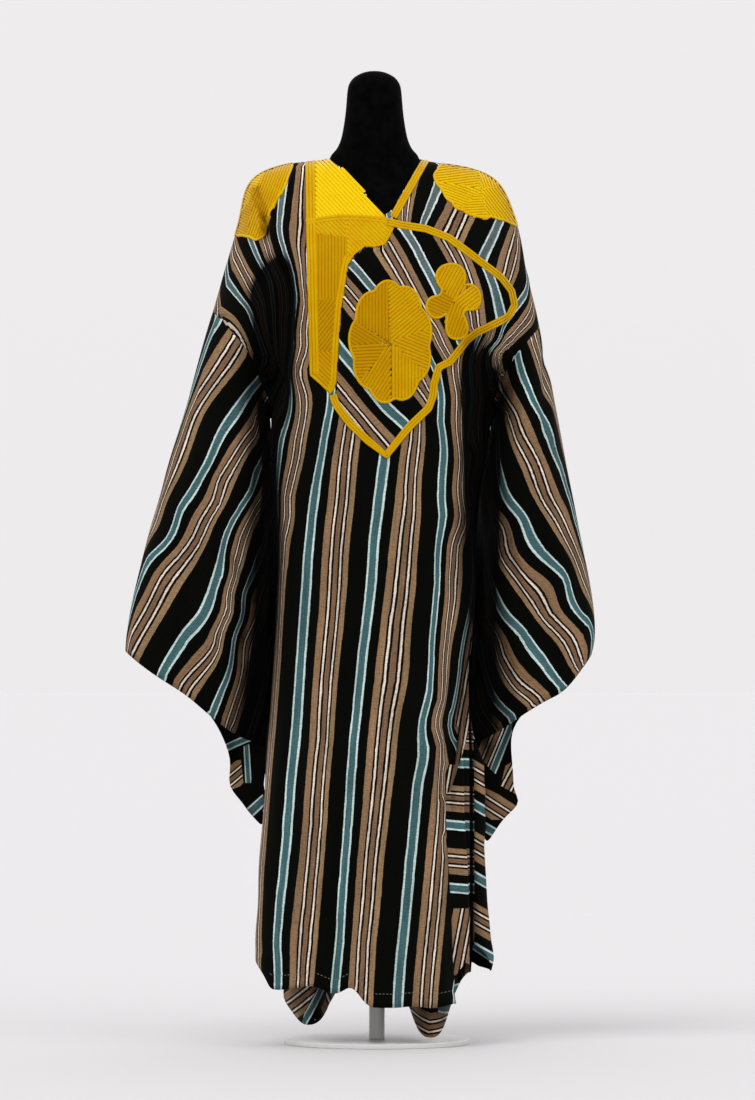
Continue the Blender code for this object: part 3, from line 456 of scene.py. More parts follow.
# Some edges are pulled a little to where they hang in the photograph: across and down in its pixels, and
# back in metres.
Nudge = namedtuple("Nudge", "px py width across down back")
NUDGES = table(Nudge, {
    "sleeve": (
        (128, 645, 22, -2, 1.6, 0), (146, 664, 22, -2, 2.2, 0), (168, 679, 22, -1.5, 1.8, 0),
        (190, 694, 22, -1.2, 1.6, 0), (208, 711, 22, -2, 2, 0), (238, 785, 18, -8, 2, 0),
        (262, 800, 9, 4, 0, 0.008), (261, 822, 9, 3, 3, 0.008), (150, 530, 40, -2.5, 0, 0),
        (592, 645, 22, 3, 1.4, 0), (580, 664, 22, 1, 2, 0), (562, 686, 22, 1, 2, 0),
        (534, 703, 22, 0.5, 1.2, 0), (478, 690, 14, -5, 0, 0.012), (479, 712, 14, -6, 0, 0.014),
        (481, 738, 14, -7, 0, 0.016), (487, 765, 14, -10, 0, 0.016), (490, 790, 14, -11, 0, 0.016),
        (491, 815, 14, -8, 0, 0.012), (494, 834, 12, -7, 8, 0.006), (512, 804, 10, 6, 0, 0),
    ),
    "front": (
        (260, 870, 34, -2, 0, 0), (260, 940, 34, -3.6, 0, 0), (284, 992, 16, -7.5, -1, 0),
        (452, 1004, 12, 3.5, 0, 0), (308, 988, 16, 0, -2, 0), (350, 992, 18, 0, -4, 0),
        (385, 1010, 18, 0, -3, 0), (415, 1010, 20, 0, -4, 0), (445, 1008, 14, 0, -3, 0),
    ),
    "back": ((260, 870, 34, -2, 0, 0), (260, 940, 34, -3.6, 0, 0), (286, 1003, 14, -6, 0, 0)),
    "hem": ((286, 1003, 14, -6, 0, 0),),
    "side": (
        (260, 870, 34, -2, 0, 0), (260, 940, 34, -3.6, 0, 0), (480, 765, 16, 7, 0, 0),
        (482, 795, 16, 6, 0, 0), (484, 825, 14, 4, 0, 0), (487, 960, 18, 6, 0, 0), (487, 930, 18, 2, 0, 0),
    ),
})
moved = np.zeros((len(points), 3))
shares = np.zeros(len(points))
for name, verts in verts_of.items():
    here = np.array(sorted(verts))
    px, py = as_pixels(points[here].T)
    shares[here] += 1.0
    for nudge in next((rows for start, rows in NUDGES.items() if name.startswith(start)), ()):
        near = np.exp(-((px - nudge.px) ** 2 + (py - nudge.py) ** 2) / nudge.width ** 2)
        moved[here] += near[:, None] * (nudge.across * PIXEL, nudge.back, -nudge.down * PIXEL)
points += moved / shares[:, None]
for puff in PUFFS:
    gap = ((points[:, 0] - across_at(puff.px)) ** 2 + (points[:, 2] - height_at(puff.py)) ** 2) / PIXEL ** 2
    points += normals * (puff.lift * np.exp(-gap / puff.width ** 2))[:, None]
pressed = np.zeros(len(points))
share = np.zeros(len(points))
for name, verts in verts_of.items():
    creases = next(rows for start, rows in CREASES.items() if name.startswith(start))
    here = np.array(sorted(verts))
    pressed[here] += creased(points[here, 0], points[here, 2], creases)
    share[here] += 1.0
creased_points = points - normals * (pressed / share)[:, None]


def surface_tree(nodes):
    """The creased outer surface of some of the gown's pieces, as it now lies."""
    numbers = [NODES.index(name) for name in nodes]
    chosen = [verts for verts, number in zip(face_verts, face_piece) if number in numbers]
    return BVHTree.FromPolygons([Vector(point) for point in creased_points], chosen)


def keep_clear(numbers, tree, reach, clearance):
    """Move points of the cloth out of a surface, to stand at least this far off it."""
    for number in numbers:
        point = Vector(creased_points[number])
        near, out, _, _ = tree.find_nearest(point, reach)
        if near is not None and (point - near).dot(out) < clearance:
            creased_points[number] += np.array(out) * (clearance - (point - near).dot(out))


# The gown hangs clear of the dress form everywhere, and rests nearest to it on the shoulders.
FORM_CLEARANCE = 0.0032
FORM_REACH = 0.05
form_node = bpy.data.objects["dress_form"].data
form_tree = BVHTree.FromPolygons(
    [vert.co for vert in form_node.vertices], [tuple(face.vertices) for face in form_node.polygons]
)
keep_clear(range(len(creased_points)), form_tree, FORM_REACH, FORM_CLEARANCE)

# The sleeves hang close beside the body, and nowhere in it.
BODY_CLEARANCE = 0.0035
BODY_REACH = 0.03
BODY_CLEAR_BELOW = 1.03
sleeve_nodes = [name for name in NODES if name.startswith("sleeve")]
body_nodes = [name for name in NODES if name not in sleeve_nodes]
hanging = set().union(*(verts_of[name] for name in sleeve_nodes))
hanging -= set().union(*(verts_of[name] for name in body_nodes))
low = [number for number in sorted(hanging) if creased_points[number][2] <= BODY_CLEAR_BELOW]
keep_clear(low, surface_tree(body_nodes), BODY_REACH, BODY_CLEARANCE)
for vert, point in zip(gown.data.vertices, creased_points):
    vert.co = point

# Painted shade: cloth in a fold or crease is painted darker, standing in for the shade that falls there, by a
# value on each point that darkens the cloth's colour.
# The share of the space before each point that other cloth fills, and how far the creases press it in, say
# how much painted shade it gets.
CREASE_PAINTED_SHADE = 0.75
PAINTED_SHADE_DEPTH = 0.012
SHADE_RAYS = 24
SHADE_REACH = 0.12
SHADE_START = 0.002
cloth_tree = surface_tree(NODES)
gown.data.update()
spread = []
for i in range(SHADE_RAYS):
    rise = 1.0 - (i + 0.5) / SHADE_RAYS
    turn = i * pi * (3.0 - 5.0 ** 0.5)
    spread.append((rise ** 0.5, (1.0 - rise) ** 0.5 * cos(turn), (1.0 - rise) ** 0.5 * sin(turn)))
painted_shade = np.zeros(len(points))
for number, vert in enumerate(gown.data.vertices):
    out = vert.normal
    side = out.orthogonal().normalized()
    other = out.cross(side)
    start = vert.co + out * SHADE_START
    ways = [out * up + side * first + other * second for up, first, second in spread]
    met = sum(cloth_tree.ray_cast(start, way, SHADE_REACH)[0] is not None for way in ways)
    painted_shade[number] = met / SHADE_RAYS
# Painted shade in the folds under the arms, which lie several layers thick: these rows press nothing in and
# only paint the cloth nearly black all over there, and the two on the godets take painted shade away again.
# Depths are in thousandths here.
PAINTED_FOLD_SHADE = table(Crease, {
    "front_panel": (
        (266, 236, 280, 440, 2, 14, 1050), (252, 268, 268, 400, 0, 9, 800), (253, 180, 264, 246, 1, 4, 700),
        (480, 300, 474, 640, 3, 11, 1100), (470, 318, 468, 470, 0, 6, 1000),
    ),
    "sleeve_left": ((276, 400, 262, 740, 2, 11, 900),),
    "sleeve_right": ((481, 400, 476, 760, 0, 9, 900),),
    "sleeve_gusset_right": ((484, 720, 486, 800, 0, 6, 700),),
    "side_gore_left": ((262, 690, 254, 760, 0, 8, 800),),
    "hem_godet": ((306, 900, 306, 1060, 0, 40, -600), (432, 900, 432, 1070, 0, 40, -600)),
})
painted_fold_shade = np.zeros(len(points))
for name, verts in verts_of.items():
    for start, rows in PAINTED_FOLD_SHADE.items():
        here = np.array(sorted(verts))
        if name.startswith(start):
            painted_fold_shade[here] += creased(points[here, 0], points[here, 2], rows)
painted_shade = np.clip(painted_shade + CREASE_PAINTED_SHADE * eased(pressed / share / PAINTED_SHADE_DEPTH) + painted_fold_shade, 0.0, 1.0)


# Where the stripes run
# The cloth is woven in narrow strips whose repeat is brown, black and teal. They run down each piece.
# A guide is the line of one stripe on the photograph, in its pixels; whole numbers are brown groups.
REPEAT = 0.102
TEAL = 0.577
TEAL_EDGE = 0.078
GUIDES = {
    "front_panel": {
        -3: ((188, 322), (202, 342), (216, 360), (230, 380)),
        -3 + TEAL: ((216, 262), (226, 279), (240, 298), (249.5, 311), (257, 335), (262, 365)),
        -2: ((228, 240), (240, 266), (252, 292), (262, 322), (268, 355)),
        -2 + TEAL: ((246, 225), (251.5, 242), (258, 258), (268, 280), (273, 310), (274, 350)),
        -1: ((262, 225), (267, 245), (274, 268), (281, 300), (281, 340), (278, 380)),
        -1 + TEAL: (
            (286, 165), (281, 205), (279, 232), (284, 252), (292, 276), (296, 295), (291, 330),
            (286.5, 370), (281, 441), (275.5, 505), (269, 540), (260, 575), (250, 620),
        ),
        0: (
            (307, 160), (306, 230), (305, 290), (304, 350), (304, 400), (300, 430), (296, 456), (290, 480),
            (286, 500), (281, 540), (275, 580), (270, 620), (264.5, 700), (258, 780), (254.5, 860),
            (252.5, 940), (251, 1010),
        ),
        TEAL: (
            (335, 165), (335, 300), (332, 395), (326, 430), (319, 470), (314.5, 500), (310, 540),
            (307, 580), (304, 620), (301, 660), (298, 700), (295, 740), (291, 780), (288, 820),
            (284.5, 860), (280, 900), (277, 940), (276, 1015),
        ),
        1: (
            (366, 240), (362, 330), (352, 400), (345, 456), (341.5, 500), (337, 540), (334.5, 580),
            (332, 620), (328, 660), (325, 700), (323, 740), (319, 780), (316.5, 820), (313, 860),
            (309, 900), (305, 940), (302, 980), (300, 1015),
        ),
        1 + TEAL: (
            (392, 300), (388, 400), (384, 461), (379, 500), (374, 540), (371.5, 580), (367, 620),
            (362, 660), (358, 700), (353.5, 740), (350.5, 780), (348, 820), (345, 860), (342, 900),
            (340, 940), (336, 980), (334, 1015),
        ),
        2: (
            (404, 235), (412, 300), (416, 400), (415.5, 430), (411, 470), (409.5, 500), (405, 540),
            (401, 580), (396, 620), (392, 660), (387, 700), (382.5, 740), (379, 780), (374.5, 820),
            (370, 860), (367, 900), (363, 940), (361, 980), (359, 1015),
        ),
        2 + TEAL: (
            (445, 165), (436.5, 190), (422.5, 225), (418, 245), (424, 290), (434, 340), (437.5, 377),
            (440, 420), (441.5, 470), (440.5, 500), (439, 540), (437.5, 580), (434, 620), (431.5, 660),
            (427.5, 700), (422, 740), (418, 780), (414, 820), (410, 860), (406.5, 900), (402.5, 940),
            (399, 980), (397, 1015),
        ),
        3: (
            (474, 170), (468, 190), (460.8, 212), (450.6, 236), (457, 290), (462, 340), (459, 395),
            (459, 430), (462, 470), (461, 500), (456, 540), (452, 580), (449, 620), (445, 660),
            (443.5, 700), (442.5, 740), (443, 780), (441, 820), (438, 860), (434.5, 900), (430.5, 940),
            (426.5, 980), (424, 1015),
        ),
        3 + TEAL: (
            (510, 195), (499.6, 221.5), (490, 243), (481, 262), (478, 300), (478, 340), (476, 400),
            (478, 460), (479, 520), (474, 580), (469, 620), (461, 660), (454, 700), (450, 730),
        ),
        4: (
            (519, 232), (507, 277), (497, 300), (490, 340), (484, 400), (485, 460), (484, 520), (481, 580),
            (477, 620), (473, 660), (467, 700), (462, 735),
        ),
        4 + TEAL: ((530, 283), (512, 312), (503, 330), (494, 380), (492, 440), (490, 500)),
        5: ((540, 300), (524, 325), (508, 342), (497, 352)),
    },
    "back_panel": {
        -1: ((250, 190), (245, 300)),
        0: ((307, 160), (300, 300), (290, 420), (278, 600), (266, 1010)),
        1: ((350, 160), (345, 420), (338, 600), (330, 1010)),
        2: ((405, 160), (402, 420), (398, 600), (394, 1010)),
        3: ((474, 160), (466, 300), (460, 420), (459, 600), (458, 1010)),
        4: ((528, 220), (520, 300)),
    },
    "sleeve_left": {
        TEAL: ((216.7, 320.5), (202, 341), (190, 365)),
        1: ((237, 341), (208, 385), (190, 411), (176, 452), (164, 485), (150, 525)),
        1 + TEAL: (
            (261, 378), (240, 405), (222.6, 432), (208, 464), (178.6, 511), (149.3, 558), (134.7, 584),
            (120, 610),
        ),
        2: (
            (268, 400), (265, 417), (237, 455), (221, 482), (216.7, 502), (199, 534.5), (164, 581),
            (132, 640), (120, 665),
        ),
        2 + TEAL: (
            (258, 470), (252, 490.6), (228.5, 528.7), (218, 572.6), (209.5, 600), (182.5, 640), (162, 674),
        ),
        2 + TEAL - TEAL_EDGE: ((212, 575), (203.5, 600), (176, 640), (156.5, 674)),
        2 + TEAL + TEAL_EDGE: ((224, 575), (215.5, 600), (189, 640), (167.5, 674)),
        3: ((262, 500), (249, 523), (237, 564), (228.5, 611), (216.7, 646), (184.5, 687)),
        3 + TEAL: ((258, 560), (243, 596), (234, 637), (230, 669), (214, 710), (205, 730)),
        4: ((262, 600), (255, 625), (246, 652), (236, 702), (228.5, 725), (222, 740)),
        4 + TEAL: ((268, 660), (263.7, 690), (249, 737)),
    },
    "sleeve_right": {
        0: ((535, 341), (544, 367.5), (553, 395)),
        TEAL: ((515, 345), (519, 359), (529, 388), (544, 417), (555.7, 453), (569, 479), (582, 510)),
        1: (
            (493, 372), (500, 397), (517.5, 432), (535, 464), (547, 499.6), (567.4, 535), (585, 576),
            (597, 600),
        ),
        1 + TEAL: (
            (493, 430), (495.5, 455.6), (503, 488), (523.4, 517), (535, 543.7), (567.4, 579), (594, 626),
            (600, 640),
        ),
        2: ((482, 480), (488, 511), (503, 552.5), (526, 585), (547, 617), (579, 664), (590, 680)),
        2 + TEAL: (
            (480, 530), (483.8, 558), (500, 602), (523.4, 632), (544, 661), (564.5, 688), (575, 700),
        ),
        3: ((479, 590), (482, 620), (500, 655), (520.5, 688), (538, 702), (545, 712)),
        3 + TEAL: ((478, 640), (480.8, 658), (491, 690.5), (513, 717), (520, 728)),
        4: ((476, 690), (479.4, 711), (494, 732), (500, 740)),
    },
}
LEVEL_STEP = 0.010
ALONG_STEP = 0.001
PLATE_EASE = 0.0006
PLATE_WIDTH = 0.4
FACING_SHARE = 0.5
KNOWN_STEP = 6
LEAST_CHANGE = 0.25
HIDDEN_BEYOND = 0.0005
OFF_SECTION = 0.003


def sections(verts, faces, height):
    """The lines in which a level plane cuts some faces, each from left to right."""
    links = {}
    for face in faces:
        cuts = []
        for a, b in zip(face, face[1:] + face[:1]):
            if (verts[a][2] > height) != (verts[b][2] > height):
                cuts.append((min(a, b), max(a, b)))
        if len(cuts) == 2:
            links.setdefault(cuts[0], []).append(cuts[1])
            links.setdefault(cuts[1], []).append(cuts[0])
    lines = []
    left = set(links)
    for start in [cut for cut in links if len(links[cut]) == 1]:
        if start not in left:
            continue
        line, here = [], start
        while here is not None:
            left.discard(here)
            low, high = verts[here[0]], verts[here[1]]
            line.append(low + (height - low[2]) / (high[2] - low[2]) * (high - low))
            here = next((cut for cut in links[here] if cut in left), None)
        if len(line) > 2:
            line = np.array(line)
            lines.append(line if line[0, 0] < line[-1, 0] else line[::-1])
    return lines


def plate(gap):
    """Bend of a thin plate at a squared distance from a mark."""
    return gap * np.log(gap + 1e-9)


def fitted_field(guides):
    """The smoothest field of stripe numbers through the marks, as a thin plate bent over them."""
    marks = [(across_at(px), height_at(py), number) for number, line in guides.items() for px, py in line]
    places = np.array(marks)[:, :2] / PLATE_WIDTH
    numbers = [number for _, _, number in marks]
    count = len(marks)
    gaps = ((places[:, None] - places[None]) ** 2).sum(axis=2)
    flat = np.column_stack([np.ones(count), places])
    system = np.zeros((count + 3, count + 3))
    system[:count, :count] = plate(gaps) + PLATE_EASE * np.eye(count)
    system[:count, count:] = flat
    system[count:, :count] = flat.T
    return places, np.linalg.solve(system, np.array(numbers + [0.0, 0.0, 0.0]))


def field_at(field, across, height):
    """Stripe number of a field at places on one level."""
    places, weights = field
    here = np.column_stack([across, np.full(len(across), height)]) / PLATE_WIDTH
    gaps = ((here[:, None] - places[None]) ** 2).sum(axis=2)
    return plate(gaps) @ weights[:-3] + weights[-3] + here @ weights[-2:]


def stripes_on_line(line, height, field, towards):
    """Points at even steps along a section, and the stripe number at each, from what shows of it."""
    run = np.concatenate([[0.0], np.cumsum(np.linalg.norm(np.diff(line, axis=0), axis=1))])
    even = np.arange(0.0, run[-1] + ALONG_STEP, ALONG_STEP)
    dense = np.stack([np.interp(even, run, line[:, axis]) for axis in range(3)], axis=1)
    facing = np.gradient(dense[:, 0]) >= FACING_SHARE * ALONG_STEP
    newest = np.maximum.accumulate(dense[:, 0])
    known = np.flatnonzero(facing & (dense[:, 0] >= newest - HIDDEN_BEYOND))[::KNOWN_STEP]
    if len(known) < 2:
        return dense, field_at(field, dense[:, 0], height)
    along, found = even[known], towards * field_at(field, dense[known, 0], height)
    for i in range(1, len(found)):
        found[i] = max(found[i], found[i - 1] + LEAST_CHANGE * (along[i] - along[i - 1]) / REPEAT)
    stripe = np.interp(even, along, found)
    stripe = np.where(even < along[0], found[0] - (along[0] - even) / REPEAT, stripe)
    stripe = np.where(even > along[-1], found[-1] + (even - along[-1]) / REPEAT, stripe)
    return dense, towards * stripe


def stripes_by_section(verts, faces, guides, towards):
    """Stripe number at each vertex of some faces, from level sections through them."""
    field = fitted_field(guides)
    by_level = {}
    for face in faces:
        heights = [verts[v][2] for v in face]
        for level in range(int(min(heights) // LEVEL_STEP), int(max(heights) // LEVEL_STEP) + 1):
            by_level.setdefault(level, []).append(face)
    known = {}
    for level, near_faces in by_level.items():
        lines = sections(verts, near_faces, level * LEVEL_STEP)
        if lines:
            made = [stripes_on_line(line, level * LEVEL_STEP, field, towards) for line in lines]
            known[level] = (np.concatenate([m[0] for m in made])[:, :2], np.concatenate([m[1] for m in made]))
    stripe = {}
    by_band = {}
    for vert in {v for face in faces for v in face}:
        by_band.setdefault(int(verts[vert][2] // LEVEL_STEP), []).append(vert)
    levels = np.array(sorted(known))
    for band, members in by_band.items():
        below = levels[np.argmin(np.abs(levels - band))]
        above = levels[np.argmin(np.abs(levels - band - 1))]
        here = np.array([verts[v] for v in members])
        found, off = [], []
        for level in (below, above):
            places, numbers = known[level]
            gaps = np.linalg.norm(here[:, None, :2] - places[None, :, :], axis=2)
            found.append(numbers[np.argmin(gaps, axis=1)])
            off.append(np.min(gaps, axis=1))
        rise = np.clip(here[:, 2] / LEVEL_STEP - band, 0.0, 1.0)
        rise = np.where(off[0] > off[1] + OFF_SECTION, 1.0, rise)
        rise = np.where(off[1] > off[0] + OFF_SECTION, 0.0, rise)
        for vert, number in zip(members, found[0] * (1.0 - rise) + found[1] * rise):
            stripe[vert] = number
    return stripe


# The pieces are cut apart again along their seams, each with its stripes as a UV map and its own thickness.
# A gusset, godet or lower gore is pieced from strips that run across, at a slant, or both.
Cut = namedtuple("Cut", "nodes guides towards")
CUTS = {
    "gown_front": Cut(("front_panel",), "front_panel", 1),
    "gown_back": Cut(("back_panel",), "back_panel", 1),
    "sleeve_left": Cut(("sleeve_left_front", "sleeve_left_back"), "sleeve_left", 1),
    "sleeve_right": Cut(("sleeve_right_front", "sleeve_right_back"), "sleeve_right", -1),
}
PIECED = {
    "gore_left": ("side_gore_left",), "gore_right": ("side_gore_right",),
    "godet_left": ("hem_godet_left",), "godet_right": ("hem_godet_right",),
    "gusset_left": ("sleeve_gusset_left",), "gusset_right": ("sleeve_gusset_right",),
}
# A patch is an outline in the photograph's pixels, with a run of its stripes: the stripe number at a place,
# and how it rises a pixel across and a pixel down. The first patch that holds a place has it, and one with no
# stripe is trimmed off.
Patch = namedtuple("Patch", "outline px py stripe across down")
BLACK = 0.345
EVERYWHERE = ((0, 0), (755, 0), (755, 1100), (0, 1100))
PATCHES = table(Patch, {
    "gore_left": ((EVERYWHERE, 260, 740, 0, 0, -0.01605),),
    "gore_right": (
        (
            (
                (430, 974.5), (456, 974.5), (465.5, 962), (473.5, 966), (480, 970), (495, 973), (510, 973),
                (510, 1030), (430, 1030),
            ),
            0, 0, None, 0, 0,
        ),
        (((440, 640), (473, 640), (473, 722), (450, 793), (440, 793)), 460, 740, 0, 0.01543, 0.0028),
        (((440, 908), (473.5, 908), (473.5, 1010), (440, 1010)), 461, 940, 0, 0.01543, 0.0029),
        (((440, 640), (473.5, 640), (473.5, 908), (440, 908)), 460, 799.5, 0, 0.0016, -0.01603),
        (EVERYWHERE, 481, 850.8, 0, 0.00845, -0.01401),
    ),
    "godet_left": (
        (
            ((301, 1030), (306, 1010), (319, 984), (327, 984), (325, 1000), (314, 1020)),
            314, 1003, TEAL, 0.021, 0.0104,
        ),
        (((314, 1020), (325, 1000), (327, 984), (345, 980), (345, 1025)), 330, 996, 0, 0.0149, -0.005),
        (EVERYWHERE, 298, 1002, 0, 0.0112, 0.012),
    ),
    "godet_right": (
        (((436, 1000), (456, 1004), (452, 1018), (438, 1012)), 445, 1010, TEAL, -0.0058, 0.0146),
        (((380, 900), (429.5, 900), (429.5, 1045), (380, 1045)), 419, 1022, 0, -0.006, 0.0145),
        (EVERYWHERE, 438, 1025, 0, 0.0026, 0.0155),
    ),
    "gusset_left": (
        (((222, 738), (240, 728), (251, 731), (250, 745), (226, 757)), 236, 745, TEAL, 0.0088, 0.02),
        (((241, 745), (247, 742), (252, 764), (250, 785), (245, 785)), 246.5, 765, TEAL, 0.027, -0.0016),
        (((224, 765), (240, 762), (243, 787), (229, 792)), 235, 777, 0, 0.0118, 0.0145),
        (((240, 816), (262, 796), (266, 810), (250, 826)), 254, 810, TEAL, 0.0106, 0.0115),
        (EVERYWHERE, 240, 780, BLACK, 0, 0),
    ),
    "gusset_right": (
        (((478, 728), (506, 728), (492, 772), (478, 756)), 491, 752.5, 0, 0.0175, 0.0072),
        (((506, 728), (514, 722), (514, 742), (498, 777), (492, 772)), 502.5, 753, TEAL, 0.02, 0.0081),
        (((507, 768), (514, 764), (520, 798), (502, 788)), 511, 783, 0, 0.0138, 0.0075),
        (
            ((470, 763), (486, 766), (503, 788), (520, 798), (520, 806), (486, 790), (470, 780)),
            490, 780, BLACK, 0, 0,
        ),
        (
            ((470, 780), (486, 790), (520, 806), (505, 822), (486, 822), (470, 822)),
            496, 809, 0, -0.0089, 0.014,
        ),
        (((470, 822), (505, 822), (500, 850), (470, 850)), 490.8, 832, TEAL, -0.0089, 0.015),
        (EVERYWHERE, 510, 755, BLACK, 0, 0),
    ),
})
FOLD_AT = {"gore_right": 473.0}
FOLD_WIDTH = 2.4
FOLD_DEPTH = 0.008
SLICE_REACH = 0.0002


def holds(outline, px, py):
    """Whether an outline in pixels holds a place."""
    within = False
    for (ax, ay), (bx, by) in zip(outline, outline[1:] + outline[:1]):
        if (py < ay) != (py < by) and px < ax + (py - ay) / (by - ay) * (bx - ax):
            within = not within
    return within


def pieced(mesh, name):
    """Cut a mesh along the edges of its patches, and set each patch's stripes on its corners."""
    work = bmesh.new()
    work.from_mesh(mesh)

    def sliced(place, normal):
        parts = work.verts[:] + work.edges[:] + work.faces[:]
        bmesh.ops.bisect_plane(work, geom=parts, dist=SLICE_REACH, plane_co=place, plane_no=normal)

    for outline in (patch.outline for patch in PATCHES[name] if patch.outline is not EVERYWHERE):
        for (ax, ay), (bx, by) in zip(outline, outline[1:] + outline[:1]):
            sliced((across_at(ax), 0.0, height_at(ay)), (by - ay, 0.0, bx - ax))
    if name in FOLD_AT:
        for px in (-FOLD_WIDTH, 0.0, FOLD_WIDTH):
            sliced((across_at(FOLD_AT[name] + px), 0.0, 0.0), (1.0, 0.0, 0.0))
        work.normal_update()
        # Along the fold the cloth is pressed in and also painted darker, as painted shade.
        painted_shade_layer = work.verts.layers.float["painted_shade"]
        for vert in work.verts:
            near = float(np.exp(-(((as_pixels(vert.co)[0] - FOLD_AT[name]) / FOLD_WIDTH) ** 2)))
            vert[painted_shade_layer] = max(vert[painted_shade_layer], near)
            vert.co -= vert.normal * (FOLD_DEPTH * near)
    warp = work.loops.layers.uv.verify()
    trimmed = []
    for face in work.faces:
        middle = as_pixels(face.calc_center_median())
        patch = next(patch for patch in PATCHES[name] if holds(patch.outline, *middle))
        if patch.stripe is None:
            trimmed.append(face)
            continue
        for loop in face.loops:
            px, py = as_pixels(loop.vert.co)
            stripe = patch.stripe + patch.across * (px - patch.px) + patch.down * (py - patch.py)
            loop[warp].uv = (stripe, loop.vert.co.x + loop.vert.co.z)
    bmesh.ops.delete(work, geom=trimmed, context="FACES")
    work.to_mesh(mesh)
    work.free()


def sewn_piece(name, nodes, corner_stripes):
    """A piece of the gown as its own object, with its stripes in a UV map and a wall of cloth."""
    numbers = [NODES.index(node_name) for node_name in nodes]
    mine = [i for i, number in enumerate(face_piece) if number in numbers]
    used = sorted({v for i in mine for v in face_verts[i]})
    index = {v: i for i, v in enumerate(used)}
    mesh = bpy.data.meshes.new(name)
    mesh.from_pydata(
        [creased_points[v] for v in used], [], [[index[v] for v in face_verts[i]] for i in mine]
    )
    warp = mesh.uv_layers.new(name="warp")
    corner = 0
    for i in mine:
        for v in face_verts[i]:
            warp.data[corner].uv = corner_stripes(i, v)
            corner += 1
    # Each point's painted shade goes with the piece.
    painted_shade_layer = mesh.attributes.new("painted_shade", "FLOAT", "POINT")
    painted_shade_layer.data.foreach_set("value", [float(painted_shade[v]) for v in used])
    if name in PATCHES:
        pieced(mesh, name)
    mesh.shade_smooth()
    made = add_object(name, mesh, striped_cotton)
    apply_modifier(made, "SOLIDIFY", thickness=CLOTH, offset=-1.0)
    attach(made, "root")
    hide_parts(*nodes)
    return made


# Striped cotton: handwoven with a thick even thread, matt, with a faint sheen along the folds.
# Its repeat is three browns parted by white lines edged in black, then black, and a teal band edged in white.
WARP_STOPS = (
    (0.000, "84684d"), (0.094, "120903"), (0.122, "d6cabb"), (0.150, "120903"), (0.181, "755b45"),
    (0.247, "120903"), (0.276, "d6cabb"), (0.304, "120903"), (0.335, "886e51"), (0.412, "040503"),
    (0.703, "bccfcb"), (0.730, "406164"), (0.832, "bccfcb"), (0.860, "040503"),
)
STRIPE_START = 0.205
striped_cotton, cotton = new_material(
    "striped_cotton", Roughness=0.85, Specular_IOR_Level=0.04, Sheen_Weight=0.005, Sheen_Roughness=0.5
)
warp_map = node(striped_cotton, "UVMap", {"uv_map": "warp"}).outputs[0]


def ranged(material, value, from_low, from_high, low, high):
    settings = {"From Min": from_low, "From Max": from_high, "To Min": low, "To Max": high}
    return node(material, "MapRange", settings, Value=value).outputs[0]


def noise_on_warp(across, along, detail, from_low, from_high, low, high):
    """A value that varies by noise over the warp map, within a range."""
    place = node(striped_cotton, "Mapping", {"Scale": (across, along, 1.0)}, Vector=warp_map)
    noise = node(striped_cotton, "TexNoise", {"Scale": 1.0, "Detail": detail}, Vector=place.outputs[0])
    return ranged(striped_cotton, noise.outputs[0], from_low, from_high, low, high)


# The stripes' edges waver by about a thread.
stripe_across = node(striped_cotton, "SeparateXYZ", (), _0=warp_map).outputs[0]
wobble = noise_on_warp(12.0, 110.0, 2.0, 0.0, 1.0, STRIPE_START - 0.006, STRIPE_START + 0.006)
within = maths(striped_cotton, "FRACT", maths(striped_cotton, "ADD", stripe_across, wobble))
stripes = node(striped_cotton, "ValToRGB", (), Fac=within)
stripes.color_ramp.interpolation = "CONSTANT"
ramp = stripes.color_ramp.elements
ramp.remove(ramp[1])
ramp[0].color = linear(WARP_STOPS[0][1])
for place, code in WARP_STOPS[1:]:
    ramp.new(place).color = linear(code)
# Single threads differ a little in shade along their length, and worn patches are paler or darker.
# Slubs in the weft, drawn 6 mm long and 2 mm high, coarser than the thread, show as short flecks.
streaks = noise_on_warp(95.0, 9.0, 3.0, 0.3, 0.7, 0.72, 1.22)
slubs = noise_on_warp(17.0, 480.0, 3.0, 0.3, 0.7, 0.70, 1.30)
worn = noise_on_warp(3.0, 11.0, 4.0, 0.3, 0.7, 0.80, 1.18)
threads = maths(striped_cotton, "MULTIPLY", streaks, maths(striped_cotton, "MULTIPLY", slubs, worn))
# Painted shade: the cloth's colour is darkened, down to 1.5 % of itself, where a point's painted shade is
# high.
painted_shade_fac = node(striped_cotton, "Attribute", {"attribute_name": "painted_shade"}).outputs["Fac"]
shade = maths(striped_cotton, "MULTIPLY", threads, ranged(striped_cotton, painted_shade_fac, 0.12, 0.70, 1.0, 0.015))
# The teal is painted a greyer green high up on the shoulders and chest, as painted light from above.
cloth_place = node(striped_cotton, "TexCoord").outputs["Object"]
cloth_height = node(striped_cotton, "SeparateXYZ", (), _0=cloth_place).outputs[2]
height_painted_light = ranged(striped_cotton, cloth_height, 1.12, 1.30, 0.0, 0.5)
teal_painted_light = maths(striped_cotton, "MULTIPLY", height_painted_light, maths(striped_cotton, "GREATER_THAN", within, 0.69))
keeping = maths(striped_cotton, "SUBTRACT", 1.0, teal_painted_light)
teal_painted_grey = node(striped_cotton, "HueSaturation", (), Saturation=keeping, Color=stripes.outputs[0])
shaded = node(striped_cotton, "VectorMath", {"operation": "SCALE"}, _0=teal_painted_grey.outputs[0], Scale=shade)
join_nodes(striped_cotton, shaded.outputs[0], cotton.inputs["Base Color"])
# Weave: 1 mm threads, one over one. A repeat of the stripes is 102 mm.
weave_place = node(striped_cotton, "Mapping", {"Scale": (102.0 * pi, 1000.0 * pi, 1.0)}, Vector=warp_map)
weave_apart = node(striped_cotton, "SeparateXYZ", (), _0=weave_place.outputs[0]).outputs
over, under = (maths(striped_cotton, "SINE", weave_apart[axis]) for axis in (0, 1))
woven = maths(striped_cotton, "MULTIPLY", over, under)
weave = node(striped_cotton, "Bump", {"Strength": 0.4, "Distance": 0.0003}, Height=woven)
join_nodes(striped_cotton, weave.outputs[0], cotton.inputs["Normal"])

